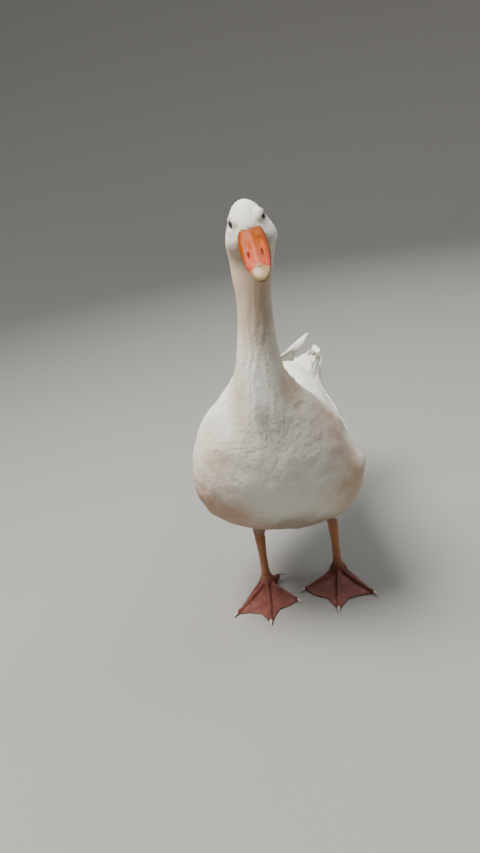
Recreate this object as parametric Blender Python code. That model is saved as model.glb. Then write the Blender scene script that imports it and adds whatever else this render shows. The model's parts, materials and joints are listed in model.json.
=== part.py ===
# A domestic goose standing with its neck up, as a still life-size museum model.
#
# Side-view places are (ahead, up) in centimetres: ahead runs towards the bill, which is -Y, and up is +Z.
# They start on the floor, midway between the two toe joints. The goose's own left is +X.
# The whole bird is moved at the end, so that the origin is at the bottom centre of its box.

import math

import bmesh
import bpy
import numpy as np
from mathutils import Matrix, Vector

CM = 0.01
GAP = 0.0004  # metres, between pieces that meet
RING_POINTS = 22

# Head: the skull's centre, how far the face tips down, and how the head is turned and tilted on the neck.
SKULL = (11.8, 54.3)
FACE_DOWN = 20.0
HEAD_YAW = 11.0  # degrees, towards the goose's left
HEAD_ROLL = 5.5  # degrees, the crown towards the goose's right
HEAD_LEAN = 2.25  # cm that the head stands to the left of the breast
LEAN_FROM = 26.0  # height from which the neck leans towards it
TURN_FROM, TURN_TO = 47.0, 53.5  # heights between which the neck takes up that turn

EYE = {"ahead": 1.35, "side": 1.42, "up": 1.24, "radius": 0.62}

# Legs: half the distance between the toe joints, and how far the right foot stands in front of the left.
STANCE = 5.35
STEP = 2.5
SOLE_TOP = 2.2  # height of the joint on which the shank stands
HOCK = {"behind": 0.5, "up": 8.2}
SHANK_TOP = 9.0
FOOT_TURN = {"left": 1.5, "right": 10.0}  # degrees towards the goose's left
TOE_SPREAD = {"left": {"outer": 42.0, "inner": 52.0}, "right": {"outer": 39.0, "inner": 41.0}}
HIND_TOE_TURN = {"left": 165.0, "right": 104.0}
TOE_LENGTH = {"outer": 7.4, "middle": 8.5, "inner": 6.3}  # to the root of the claw
CLAW_LENGTH = 0.95
HIND_TOE_LENGTH = 2.1
PAD_RADIUS = 1.25  # of the pad under the toe joint
# Webs outside and inside the middle toe: how far along the toes they reach, and how far they are drawn in.
WEB = {"outer": {"reach": 0.92, "sag": 0.08}, "inner": {"reach": 1.0, "sag": 0.05}}

SIDES = {"left": 1.0, "right": -1.0}

MATERIALS = {
    "plumage": ((0.80, 0.77, 0.71), 0.75),
    "bill": ((0.78, 0.30, 0.13), 0.42),
    "nail": ((0.80, 0.68, 0.54), 0.35),
    "eye": ((0.015, 0.013, 0.016), 0.08),
    "leg_skin": ((0.62, 0.25, 0.17), 0.55),
    "claw": ((0.62, 0.53, 0.44), 0.40),
}


def skull(ahead, up):
    """A place measured from the skull's centre along the tipped face, as a side-view place."""
    tip = math.radians(FACE_DOWN)
    return (
        SKULL[0] + ahead * math.cos(tip) + up * math.sin(tip),
        SKULL[1] - ahead * math.sin(tip) + up * math.cos(tip),
    )


# The body's sections from under the tail to the root of the bill: the place on the back or nape, the place on
# the belly, breast or throat, half the width, how far up the section is widest, how square it is (2 is an
# ellipse), and by what share it is narrower above, at the crown.
BODY_SHIFT = -0.35  # cm that the body stands to the left of the middle of its feet
BODY = {
    "vent end": ((-25.0, 25.2), (-24.6, 23.4), 1.2, 0.50, 2.0, 0.0),
    "vent": ((-21.6, 27.0), (-20.6, 20.2), 3.0, 0.46, 2.0, 0.0),
    "rump": ((-16.8, 29.4), (-14.8, 15.8), 4.9, 0.42, 2.0, 0.0),
    "loin": ((-11.2, 31.2), (-9.2, 12.8), 6.8, 0.38, 2.15, 0.0),
    "belly": ((-5.2, 32.4), (-3.4, 11.5), 8.6, 0.34, 2.15, 0.0),
    "keel": ((0.8, 33.0), (3.0, 11.8), 10.2, 0.33, 2.15, 0.0),
    "shoulder": ((5.0, 33.8), (8.6, 14.4), 11.0, 0.34, 2.15, 0.0),
    "breast": ((7.4, 35.2), (12.7, 19.2), 9.4, 0.38, 2.15, 0.0),
    "crop": ((8.6, 37.0), (14.9, 25.4), 6.70, 0.40, 2.0, 0.0),
    "neck root": ((9.2, 39.2), (15.3, 31.6), 3.70, 0.45, 2.0, 0.0),
    "low neck": ((9.5, 41.5), (14.8, 36.8), 2.62, 0.48, 2.0, 0.0),
    "mid neck": ((9.6, 44.3), (14.1, 41.8), 2.1, 0.50, 2.0, 0.0),
    "high neck": ((9.5, 47.3), (13.7, 45.9), 1.95, 0.50, 2.0, 0.0),
    "neck top": ((9.3, 49.9), (13.6, 48.5), 2.3, 0.50, 2.0, 0.0),
    "jaw": ((9.0, 52.5), (13.45, 50.1), 2.55, 0.50, 2.0, 0.0),
    "nape": ((9.35, 54.8), (13.55, 51.15), 2.74, 0.38, 2.0, 0.04),
    "ear": ((10.4, 56.4), (13.75, 51.5), 2.80, 0.32, 2.0, 0.13),
    "eye": ((12.0, 57.05), (13.95, 51.6), 2.66, 0.30, 2.0, 0.18),
    "brow": ((13.5, 56.5), (14.1, 51.65), 2.28, 0.32, 2.0, 0.155),
    "forehead": ((14.6, 55.4), (14.2, 51.7), 1.84, 0.38, 2.0, 0.09),
    "bill root": ((15.35, 54.3), (14.3, 51.75), 1.50, 0.45, 2.0, 0.0),
}
BODY_PIECES = {
    "trunk": ("vent end", "neck root"),
    "neck_lower": ("neck root", "mid neck"),
    "neck_middle": ("mid neck", "high neck"),
    "neck_upper": ("high neck", "jaw"),
    "head": ("jaw", "bill root"),
}

# The folded wing is a curved leaf laid on an oval tube. Each station gives: ahead, the tube's centre height,
# half width and half height, the angles up the tube of the leaf's lower and upper edge, and its thickness.
WING = {
    "wrist": (9.8, 20.6, 9.4, 10.8, 2.0, 20.0, 0.5),
    "forearm": (7.2, 19.4, 10.55, 12.8, 0.0, 40.0, 1.4),
    "elbow": (1.0, 17.0, 10.4, 13.8, -5.0, 56.0, 2.0),
    "secondaries": (-7.0, 17.8, 8.1, 12.3, -4.0, 62.0, 1.9),
    "tertials": (-14.0, 20.4, 5.7, 9.5, 2.0, 64.0, 1.5),
    "primaries": (-20.0, 23.8, 4.0, 6.0, 4.0, 62.0, 1.2),
    "tip": (-24.6, 26.8, 2.7, 2.9, 8.0, 58.0, 0.9),
    "tip end": (-27.6, 28.9, 1.9, 1.4, 20.0, 48.0, 0.5),
}
WING_TIP_SHIFT = {"left": (2.2, -1.8), "right": (4.4, 0.5)}  # cm to the left and up, at the very tip
WING_POINTS_ACROSS = 9
SECTION_POINTS = 16  # round the tail and the bill

# Tail and bill sections: ahead, top, bottom, half the width, how square. The bill's are measured from the
# skull's centre.
TAIL = {
    "root": (-19.0, 24.2, 21.8, 3.0, 2.2),
    "fork": (-22.5, 24.9, 23.2, 3.9, 2.2),
    "fan": (-26.0, 25.4, 24.5, 4.6, 2.2),
    "tips": (-28.5, 25.6, 25.0, 4.5, 2.2),
    "end": (-29.5, 25.7, 25.4, 2.8, 2.2),
}
UPPER_BILL = {
    "inside": (2.3, 1.46, -0.72, 1.42, 2.8),
    "root": (3.4, 1.12, -0.80, 1.53, 2.8),
    "saddle": (4.4, 0.66, -0.88, 1.55, 2.7),
    "nostrils": (5.6, 0.20, -0.98, 1.50, 2.5),
    "bridge": (6.95, -0.22, -1.08, 1.30, 2.4),
    "nail root": (8.0, -0.50, -1.15, 1.08, 2.3),
}
NAIL = {
    "root": (8.05, -0.51, -1.16, 1.07, 2.3),
    "dome": (8.72, -0.68, -1.26, 0.88, 2.3),
    "hook": (9.26, -0.94, -1.41, 0.60, 2.3),
    "tip": (9.50, -1.17, -1.48, 0.26, 2.3),
}
LOWER_BILL = {
    "inside": (2.3, -0.80, -1.80, 1.14, 2.6),
    "root": (3.4, -0.88, -1.78, 1.24, 2.6),
    "middle": (5.6, -1.06, -1.64, 1.20, 2.6),
    "front": (8.0, -1.23, -1.54, 0.85, 2.6),
    "tip": (8.8, -1.36, -1.56, 0.42, 2.6),
}


def splined(rows, per_span):
    """The rows with others between them, on a smooth curve through them all."""
    rows = np.array(rows, float)
    last = len(rows) - 1
    made = []
    for i in range(last):
        before, start, end, after = (rows[min(max(k, 0), last)] for k in (i - 1, i, i + 1, i + 2))
        for t in np.arange(per_span) / per_span:
            made.append(
                0.5
                * (
                    2 * start
                    + (end - before) * t
                    + (2 * before - 5 * start + 4 * end - after) * t**2
                    + (3 * start - before - 3 * end + after) * t**3
                )
            )
    return np.array(made + [rows[last]])


def smoothstep(t):
    t = min(max(t, 0.0), 1.0)
    return t * t * (3 - 2 * t)


def side_view(ahead, up, side=0.0):
    """A side-view place, and how far it is to the goose's left, as a point in metres."""
    return Vector((side, -ahead, up)) * CM


def oval(top, bottom, half_width, widest=0.5, square=2.0, crown=0.0, count=RING_POINTS):
    """A closed ring of points from its top and bottom place. It starts at the goose's left."""
    top, bottom = Vector(top), Vector(bottom)
    middle = bottom.lerp(top, widest)
    ring = []
    for k in range(count):
        turn = 2 * math.pi * k / count
        across = math.copysign(abs(math.cos(turn)) ** (2 / square), math.cos(turn))
        upward = math.copysign(abs(math.sin(turn)) ** (2 / square), math.sin(turn))
        end = top if upward > 0 else bottom
        across *= 1 - crown * smoothstep(2 * upward)
        ring.append(middle + (end - middle) * abs(upward) + Vector((half_width * across, 0, 0)))
    return ring


def head_turn(height):
    """How the neck's ring at this height is leant over and turned: up at the skull, all that the head is."""
    share = smoothstep((height - TURN_FROM) / (TURN_TO - TURN_FROM))
    across = BODY_SHIFT + HEAD_LEAN * max(0.0, (height - LEAN_FROM) / (SKULL[1] - LEAN_FROM))
    if share == 1.0:
        across = BODY_SHIFT + HEAD_LEAN
    pivot = Matrix.Translation(side_view(SKULL[0], height + (SKULL[1] - height) * share))
    yaw = Matrix.Rotation(math.radians(HEAD_YAW * share), 4, "Z")
    roll = Matrix.Rotation(math.radians(HEAD_ROLL * share), 4, Vector((0, -1, 0)))
    lean = Matrix.Translation(Vector((across * CM, 0, 0)))
    return lean @ pivot @ yaw @ roll @ pivot.inverted()


def face_matrix():
    """From places measured on the straight, level face to the posed head."""
    tip = Matrix.Rotation(math.radians(FACE_DOWN), 4, "X")
    return head_turn(SKULL[1]) @ Matrix.Translation(side_view(*SKULL)) @ tip


def material(name):
    found = bpy.data.materials.get(name)
    if found:
        return found
    colour, roughness = MATERIALS[name]
    made = bpy.data.materials.new(name)
    made.use_nodes = True
    shader = made.node_tree.nodes["Principled BSDF"]
    shader.inputs["Base Color"].default_value = (*colour, 1.0)
    shader.inputs["Roughness"].default_value = roughness
    shader.inputs["Metallic"].default_value = 0.0
    made.diffuse_color = (*colour, 1.0)
    return made


def new_object(name, mesh, finish):
    made = bpy.data.objects.new(name, mesh)
    bpy.context.scene.collection.objects.link(made)
    made.data.materials.append(material(finish))
    made.data.shade_smooth()
    return made


def loft(name, rings, finish):
    """One closed skin through the rings, with a flat cap at each end."""
    shape = bmesh.new()
    rows = [[shape.verts.new(p) for p in ring] for ring in rings]
    count = len(rings[0])
    for low, high in zip(rows, rows[1:]):
        for k in range(count):
            after = (k + 1) % count
            shape.faces.new((low[k], low[after], high[after], high[k]))
    shape.faces.new(rows[0])
    shape.faces.new(rows[-1])
    shape.normal_update()
    bmesh.ops.recalc_face_normals(shape, faces=shape.faces)
    mesh = bpy.data.meshes.new(name)
    shape.to_mesh(mesh)
    shape.free()
    return new_object(name, mesh, finish)


def as_cutter(obj):
    obj.hide_render = True
    obj.display_type = "WIRE"
    return obj


def grown_copy(obj, by=2 * GAP):
    """A cutter in the shape of obj, a little larger all round."""
    mesh = obj.data.copy()
    normals = [v.normal.copy() for v in mesh.vertices]
    for vertex, normal in zip(mesh.vertices, normals):
        vertex.co += normal * by
    copy = bpy.data.objects.new(obj.name + "_cutter", mesh)
    bpy.context.scene.collection.objects.link(copy)
    copy.matrix_world = obj.matrix_world
    return as_cutter(copy)


def cut(obj, others):
    """Cuts from obj the shapes of the others, each with a gap round it."""
    cutters = bpy.data.collections.new(obj.name + "_cutters")
    for other in others:
        cutters.objects.link(grown_copy(other))
    step = obj.modifiers.new("sockets", "BOOLEAN")
    step.operation = "DIFFERENCE"
    step.solver = "EXACT"
    step.operand_type = "COLLECTION"
    step.collection = cutters


def body_rings():
    """The body's rings by section name: each section's ring and those up to the next one."""
    names = list(BODY)
    rows = [(*back, *front, *shape) for back, front, *shape in BODY.values()]
    per_span = 3
    rings = []
    for back_a, back_u, front_a, front_u, half_width, widest, square, crown in splined(rows, per_span):
        back, front = side_view(back_a, back_u), side_view(front_a, front_u)
        ring = oval(back, front, half_width * CM, widest, square, crown)
        turn = head_turn((back_u + front_u) / 2)
        rings.append([turn @ p for p in ring])
    return {name: rings[i * per_span : (i + 1) * per_span] for i, name in enumerate(names)}


def ring_axis(ring):
    """The unit vector square to a flat ring."""
    quarter = len(ring) // 4
    return (ring[quarter] - ring[3 * quarter]).cross(ring[2 * quarter] - ring[0]).normalized()


def build_body():
    """The trunk, the lengths of the neck and the head, parted by thin cuts."""
    by_name = body_rings()
    names = list(BODY)
    pieces = {}
    for piece, (first, last) in BODY_PIECES.items():
        rings = [ring for name in names[names.index(first) : names.index(last)] for ring in by_name[name]]
        rings.append(by_name[last][0])
        if piece != "trunk":
            axis = ring_axis(rings[0])
            axis *= math.copysign(GAP, axis.dot(rings[1][0] - rings[0][0]))
            rings[0] = [p + axis for p in rings[0]]
        pieces[piece] = loft(piece, rings, "plumage")
    return pieces


def wing_ring(station, side, shift):
    """A flattened ring round the leaf at one station."""
    ahead, centre, half_width, half_height, low, high, thickness = station
    outer, inner = [], []
    for k in range(WING_POINTS_ACROSS):
        t = k / (WING_POINTS_ACROSS - 1)
        angle = math.radians(low + (high - low) * t)
        place = Vector((half_width * math.cos(angle), -ahead, centre + half_height * math.sin(angle)))
        out = Vector((math.cos(angle) / half_width, 0, math.sin(angle) / half_height)).normalized()
        half = thickness / 2 * (0.16 + 0.84 * math.sin(math.pi * t))
        outer.append(place + out * half)
        inner.append(place - out * half)
    ring = outer + inner[::-1]
    return [Vector((side * p.x + shift[0] + BODY_SHIFT, p.y, p.z + shift[1])) * CM for p in ring]


def build_wing(side_name):
    side = SIDES[side_name]
    stations = splined(list(WING.values()), 2)
    across, up = WING_TIP_SHIFT[side_name]
    rings = []
    for i, station in enumerate(stations):
        share = smoothstep((i / (len(stations) - 1) - 0.55) / 0.45)
        rings.append(wing_ring(station, side, (across * share, up * share)))
    return loft(f"wing_{side_name}", rings, "plumage")


def sections(table, per_span, to_world, widest=0.5):
    """Rings of a piece whose table gives ahead, top, bottom, half width and how square."""
    rings = []
    for ahead, top, bottom, half_width, square in splined(list(table.values()), per_span):
        top, bottom = side_view(ahead, top), side_view(ahead, bottom)
        ring = oval(top, bottom, half_width * CM, widest, square, count=SECTION_POINTS)
        rings.append([to_world @ p for p in ring])
    return rings


def build_face():
    """Bill, nail and eyes, on the posed head."""
    face = face_matrix()
    bill = {
        "bill_upper": loft("bill_upper", sections(UPPER_BILL, 2, face, 0.24), "bill"),
        "bill_nail": loft("bill_nail", sections(NAIL, 2, face, 0.24), "nail"),
        "bill_lower": loft("bill_lower", sections(LOWER_BILL, 2, face, 0.62), "bill"),
    }
    for side_name, side in SIDES.items():
        shape = bmesh.new()
        bmesh.ops.create_uvsphere(shape, u_segments=12, v_segments=7, radius=EYE["radius"] * CM)
        mesh = bpy.data.meshes.new(f"eye_{side_name}")
        place = side_view(EYE["ahead"], EYE["up"], side * EYE["side"])
        shape.transform(face @ Matrix.Translation(place) @ Matrix.Rotation(math.pi / 2, 4, "Y"))
        shape.to_mesh(mesh)
        shape.free()
        bill[f"eye_{side_name}"] = new_object(f"eye_{side_name}", mesh, "eye")
    return bill


def heading(turn):
    """The level direction turned this many degrees to the goose's left from straight ahead."""
    angle = math.radians(turn)
    return Vector((math.sin(angle), -math.cos(angle), 0.0))


def foot_place(side_name):
    side = SIDES[side_name]
    return Vector((side * STANCE, side * STEP / 2, 0.0)) * CM


def toe_turns(side_name):
    """Each front toe's direction, in degrees to the goose's left, from the outer toe to the inner."""
    side = SIDES[side_name]
    spread = TOE_SPREAD[side_name]
    middle = FOOT_TURN[side_name]
    return {
        "outer": middle + side * spread["outer"],
        "middle": middle,
        "inner": middle - side * spread["inner"],
    }


def toe_half_width(share, name):
    base = {"outer": 0.46, "middle": 0.50, "inner": 0.42, "hind": 0.40}[name]
    knuckles = 0.04 * math.cos(2 * math.pi * 3 * share)
    return base * (1 - 0.42 * share) + knuckles


def toe_crest(share):
    return 1.22 - 0.95 * share + 0.30 * share**2 + 0.05 * math.cos(2 * math.pi * 3 * share)


def foot_columns(side_name, share):
    """Round the joint, at a share of each column's reach: turn, distance, top and bottom."""
    turns = toe_turns(side_name)
    names = list(turns)
    columns = []
    for i, name in enumerate(names):
        reach = PAD_RADIUS + (TOE_LENGTH[name] - PAD_RADIUS) * share
        half_angle = min(math.degrees(toe_half_width(share, name) / reach), 15.0)
        toward_next = math.copysign(1.0, turns[names[-1]] - turns[names[0]])
        for offset, height in ((-1.0, 0.34), (-0.62, 0.82), (0.0, 1.0), (0.62, 0.82), (1.0, 0.34)):
            turn = turns[name] + toward_next * offset * half_angle
            columns.append((turn, reach, toe_crest(share) * height, 0.0))
        if i == 2:
            continue
        after = names[i + 1]
        edge = WEB[name if i == 0 else after]
        longest = min(TOE_LENGTH[name], TOE_LENGTH[after]) + 0.4
        web = PAD_RADIUS + (longest - PAD_RADIUS) * edge["reach"] * share
        for t in (0.3, 0.5, 0.7):
            turn = turns[name] + (turns[after] - turns[name]) * t
            sag = 1 - edge["sag"] * 4 * t * (1 - t) * share
            columns.append((turn, web * sag, 0.22 + 0.45 * (1 - share) ** 2, 0.07 * share))
    hind = turns["middle"] - SIDES[side_name] * HIND_TOE_TURN[side_name]
    first, last = columns[0][0], columns[-1][0]
    full = math.copysign(360.0, last - first)
    hind += full * round(((first + full + last) / 2 - hind) / full)
    reach = PAD_RADIUS + (HIND_TOE_LENGTH - PAD_RADIUS) * share
    half_angle = math.degrees(toe_half_width(share, "hind") / reach)
    toe = [
        (hind + math.copysign(half_angle, full) * offset, reach, height + 0.22 * share, 1.08 * share)
        for offset, height in ((-1.0, 1.15), (-0.4, 1.42), (0.4, 1.42), (1.0, 1.15))
    ]
    for start, end in ((last, toe[0][0]), (toe[-1][0], first + full)):
        heel = [(start + (end - start) * t, PAD_RADIUS + 0.12 * share, 0.95, 0.0) for t in (0.25, 0.5, 0.75)]
        columns += heel + toe if start == last else heel
    return columns


def foot_ring(side_name, share, use_top):
    place = foot_place(side_name)
    ring = []
    for turn, distance, top, bottom in foot_columns(side_name, share):
        ring.append(place + (heading(turn) * distance + Vector((0, 0, top if use_top else bottom))) * CM)
    return ring


def build_foot(side_name):
    """Three webbed toes and the hind toe spread from a domed pad, with a flat sole."""
    place = foot_place(side_name)
    turns = [column[0] for column in foot_columns(side_name, 0.0)]

    def round_ring(height, radius):
        return [place + (heading(turn) * radius + Vector((0, 0, height))) * CM for turn in turns]

    rings = [round_ring(0.0, 0.6)]
    rings += [foot_ring(side_name, share, False) for share in (0.0, 0.5, 1.0)]
    rings += [foot_ring(side_name, share, True) for share in (1.0, 0.82, 0.62, 0.40, 0.18, 0.0)]
    rings += [round_ring(height, radius) for height, radius in ((1.5, 1.05), (SOLE_TOP - GAP / CM, 0.76))]
    return loft(f"foot_{side_name}", rings, "leg_skin")


def tube(name, places, radii, finish, count=10):
    """A bent, tapering round piece through the places."""
    rings = []
    for i, (place, radius) in enumerate(zip(places, radii)):
        along = (places[min(i + 1, len(places) - 1)] - places[max(i - 1, 0)]).normalized()
        turn = along.to_track_quat("Z", "Y")
        rings.append(
            [
                place + turn @ Vector((math.cos(a), math.sin(a), 0)) * radius
                for a in (2 * math.pi * k / count for k in range(count))
            ]
        )
    return loft(name, rings, finish)


def build_claw(name, root, along, drop):
    """A short curved horn that starts just clear of its toe."""
    shares = (0.0, 0.35, 0.7, 1.0)
    places = [
        root + along * (GAP + CLAW_LENGTH * CM * s) + Vector((0, 0, -drop * CM * s * s)) for s in shares
    ]
    radii = [r * CM for r in (0.24, 0.21, 0.14, 0.05)]
    return tube(name, places, radii, "claw", 6)


def build_claws(side_name):
    place = foot_place(side_name)
    for name, turn in toe_turns(side_name).items():
        along = heading(turn)
        root = place + (along * TOE_LENGTH[name] + Vector((0, 0, 0.36))) * CM
        build_claw(f"claw_{name}_{side_name}", root, along, 0.20)
    along = heading(FOOT_TURN[side_name] - SIDES[side_name] * HIND_TOE_TURN[side_name])
    root = place + (along * HIND_TOE_LENGTH + Vector((0, 0, 1.36))) * CM
    build_claw(f"claw_hind_{side_name}", root, along, 0.30)


def build_leg(side_name):
    """The bare shank from the joint to the hock, and the feathered thigh above it."""
    foot = foot_place(side_name)
    behind = HOCK["behind"]
    lower = ((SOLE_TOP, 0.70, 0.76), (3.4, 0.58, 0.70), (5.6, 0.56, 0.70), (7.1, 0.66, 0.82))
    shank = (*lower, (HOCK["up"], 0.78, 0.95), (SHANK_TOP, 0.70, 0.85))
    rings = []
    for up, half_width, half_depth in shank:
        back = Vector((0, behind * (up - SOLE_TOP) / (HOCK["up"] - SOLE_TOP), up)) * CM
        rings.append(level_ring(foot + back, half_width, half_depth, 12))
    loft(f"shank_{side_name}", rings, "leg_skin")
    lower = ((SHANK_TOP + GAP / CM, 0.0, 0.86, 1.05), (10.8, 0.1, 1.15, 1.45), (12.9, 0.3, 1.95, 2.5))
    thigh = (*lower, (15.0, 0.7, 2.9, 3.6), (18.5, 1.6, 3.3, 4.6))
    rings = []
    for up, forward, half_width, half_depth in thigh:
        centre = foot + Vector((-SIDES[side_name] * 0.20 * (up - SHANK_TOP), behind - forward, up)) * CM
        rings.append(level_ring(centre, half_width, half_depth, 18))
    return loft(f"thigh_{side_name}", rings, "plumage")


def level_ring(centre, half_width, half_depth, count):
    return [
        centre + Vector((math.cos(a) * half_width, math.sin(a) * half_depth, 0)) * CM
        for a in (2 * math.pi * k / count for k in range(count))
    ]


def stand_on_origin():
    """Moves every piece together, so that the origin is at the bottom centre of the whole bird's box."""
    bpy.context.view_layer.update()
    shown = [o for o in bpy.context.scene.objects if not o.hide_render]
    corners = np.array([v.co for o in shown for v in o.data.vertices])
    low, high = corners.min(0), corners.max(0)
    back = Vector((-(low[0] + high[0]) / 2, -(low[1] + high[1]) / 2, -low[2]))
    for obj in bpy.context.scene.objects:
        obj.data.transform(Matrix.Translation(back))


def main():
    for obj in list(bpy.data.objects):
        bpy.data.objects.remove(obj)
    body = build_body()
    straight = Matrix.Translation(Vector((BODY_SHIFT * CM, 0, 0)))
    set_in = [loft("tail", sections(TAIL, 2, straight), "plumage")]
    for side_name in SIDES:
        set_in += [build_wing(side_name), build_leg(side_name)]
        build_foot(side_name)
        build_claws(side_name)
    cut(body["trunk"], set_in)
    face = build_face()
    cut(body["head"], [face[name] for name in face if name != "bill_nail"])
    stand_on_origin()


main()
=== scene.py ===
import json
import math

import bmesh
import bpy
import numpy as np
from mathutils import Matrix, Vector, noise
from mathutils.bvhtree import BVHTree

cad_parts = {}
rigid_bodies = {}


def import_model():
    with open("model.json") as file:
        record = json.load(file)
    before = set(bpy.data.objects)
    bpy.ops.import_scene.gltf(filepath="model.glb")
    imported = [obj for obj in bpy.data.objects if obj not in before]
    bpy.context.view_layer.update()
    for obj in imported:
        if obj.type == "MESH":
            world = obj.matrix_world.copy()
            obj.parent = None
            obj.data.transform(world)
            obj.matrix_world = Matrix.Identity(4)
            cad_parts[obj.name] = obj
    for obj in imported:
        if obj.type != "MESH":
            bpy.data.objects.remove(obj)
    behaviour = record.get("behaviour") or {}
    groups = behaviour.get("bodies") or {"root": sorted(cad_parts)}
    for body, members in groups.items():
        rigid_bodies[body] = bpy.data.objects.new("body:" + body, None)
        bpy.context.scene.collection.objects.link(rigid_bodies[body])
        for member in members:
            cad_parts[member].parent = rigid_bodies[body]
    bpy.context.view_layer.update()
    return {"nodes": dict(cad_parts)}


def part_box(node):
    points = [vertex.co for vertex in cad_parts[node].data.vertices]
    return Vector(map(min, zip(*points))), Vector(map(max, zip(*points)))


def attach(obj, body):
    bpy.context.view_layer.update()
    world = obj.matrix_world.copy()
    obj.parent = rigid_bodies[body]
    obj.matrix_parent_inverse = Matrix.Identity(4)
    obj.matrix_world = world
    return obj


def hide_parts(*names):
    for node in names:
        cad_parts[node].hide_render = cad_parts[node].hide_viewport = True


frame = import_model()
nodes = frame["nodes"]
sides = {"left": 1.0, "right": -1.0}


# small tools
class Wire:  # one socket of a node tree, with arithmetic that adds Math nodes
    def __init__(self, tree, socket):
        self.tree = tree
        self.socket = socket

    def math(self, operation, *values):
        node = self.tree.nodes.new("ShaderNodeMath")
        node.operation = operation
        for place, value in zip(node.inputs, values):
            plug(self.tree, place, value)
        return Wire(self.tree, node.outputs[0])

    def __add__(self, other):
        return self.math("ADD", self, other)

    def __sub__(self, other):
        return self.math("SUBTRACT", self, other)

    def __rsub__(self, other):
        return self.math("SUBTRACT", other, self)

    def __mul__(self, other):
        return self.math("MULTIPLY", self, other)

    def __rtruediv__(self, other):
        return self.math("DIVIDE", other, self)

    __radd__ = __add__
    __rmul__ = __mul__

    def out(self, name):
        return Wire(self.tree, self.socket.node.outputs[name])

    def between(self, low, high):  # 0 at low, 1 at high, soft at both
        node = self.tree.nodes.new("ShaderNodeMapRange")
        node.interpolation_type = "SMOOTHSTEP"
        plug(self.tree, node.inputs["Value"], self)
        node.inputs["From Min"].default_value = low
        node.inputs["From Max"].default_value = high
        return Wire(self.tree, node.outputs[0])


def plug(tree, place, value):
    if isinstance(value, Wire):
        tree.links.new(value.socket, place)
    else:
        place.default_value = value


class Board:  # a node tree while it is wired up
    def __init__(self, tree):
        self.tree = tree
        tree.nodes.clear()

    def add(self, kind, settings=None, sockets=None, out=0):
        node = self.tree.nodes.new(kind)
        for name, value in (settings or {}).items():
            setattr(node, name, value)
        for name, value in (sockets or {}).items():
            plug(self.tree, node.inputs[name], value)
        return Wire(self.tree, node.outputs[out]) if node.outputs else node

    def mix(self, share, first, second):
        colours = {6: colour4(first), 7: colour4(second)}
        return self.add("ShaderNodeMix", {"data_type": "RGBA"}, {0: share, **colours}, 2)

    def here(self):
        return self.add("ShaderNodeTexCoord", {}, {}, "Object")

    def read(self, name):
        return self.add("ShaderNodeAttribute", {"attribute_name": name}, {}, "Fac")

    def noise(self, place, scale, detail, roughness=0.5):
        sockets = {"Vector": place, "Scale": scale, "Detail": detail, "Roughness": roughness}
        return self.add("ShaderNodeTexNoise", {}, sockets)

    def vector(self, operation, *values, out="Vector"):
        return self.add("ShaderNodeVectorMath", {"operation": operation}, dict(enumerate(values)), out)


def colour4(value):
    return value if isinstance(value, Wire) or len(value) == 4 else (*value, 1.0)


def newMaterial(name):
    made = bpy.data.materials.new(name)
    made.use_nodes = True
    return made, Board(made.node_tree)


def finishMaterial(board, colour, roughness, bump=None, **constants):
    sockets = {"Base Color": colour, "Roughness": roughness}
    shader = board.add("ShaderNodeBsdfPrincipled", {}, sockets).socket.node
    for name, value in constants.items():
        shader.inputs[name.replace("_", " ")].default_value = value
    if bump:
        height, strength, distance = bump
        sockets = {"Height": height, "Strength": strength, "Distance": distance}
        board.tree.links.new(board.add("ShaderNodeBump", {}, sockets).socket, shader.inputs["Normal"])
    board.add("ShaderNodeOutputMaterial", {}, {"Surface": Wire(board.tree, shader.outputs[0])})


def newPiece(name, mesh, *materials):
    piece = bpy.data.objects.new(name, mesh)
    bpy.context.scene.collection.objects.link(piece)
    piece.data.materials.clear()
    for material in materials:
        piece.data.materials.append(material)
    return piece


def meshFrom(name, places, faces):
    mesh = bpy.data.meshes.new(name)
    mesh.from_pydata([tuple(p) for p in places], [], faces)
    mesh.update()
    return mesh


def meshOf(shape, name):  # a bmesh as a mesh
    mesh = bpy.data.meshes.new(name)
    shape.to_mesh(mesh)
    shape.free()
    return mesh


def solidCopy(nodeName):  # a node's mesh with its loose triangles joined up
    mesh = nodes[nodeName].data.copy()
    shape = bmesh.new()
    shape.from_mesh(mesh)
    bmesh.ops.remove_doubles(shape, verts=shape.verts, dist=1e-5)
    shape.to_mesh(mesh)
    shape.free()
    mesh.materials.clear()
    return mesh


def swollen(mesh, by):
    normals = [v.normal.copy() for v in mesh.vertices]
    for vertex, normal in zip(mesh.vertices, normals):
        vertex.co += normal * by
    return mesh


def joined(meshes, name):
    shape = bmesh.new()
    for mesh in meshes:
        shape.from_mesh(mesh)
    return meshOf(shape, name)


def evaluated(carrier):  # the carrier's mesh after its modifiers; the carrier goes
    bpy.context.view_layer.update()
    made = bpy.data.meshes.new_from_object(carrier.evaluated_get(bpy.context.evaluated_depsgraph_get()))
    bpy.data.objects.remove(carrier)
    return made


def throughModifiers(mesh, modifiers):  # the mesh after these modifiers, as a plain mesh
    carrier = newPiece("carrier", mesh)
    for kind, settings in modifiers:
        step = carrier.modifiers.new(kind, kind)
        for name, value in settings.items():
            setattr(step, name, value)
    return evaluated(carrier)


def remeshed(mesh, voxel, smooth):
    steps = [("REMESH", {"mode": "VOXEL", "voxel_size": voxel})]
    if smooth:
        steps.append(("SMOOTH", {"factor": 0.5, "iterations": smooth}))
    return throughModifiers(mesh, steps)


def placesOf(mesh, field="co"):
    flat = np.empty(len(mesh.vertices) * 3, np.float32)
    mesh.vertices.foreach_get(field, flat)
    return flat.reshape(-1, 3).astype(float)


def normalsOf(mesh):
    return placesOf(mesh, "normal")


def setPlaces(mesh, places):
    mesh.vertices.foreach_set("co", np.asarray(places, np.float32).ravel())
    mesh.update()


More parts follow.
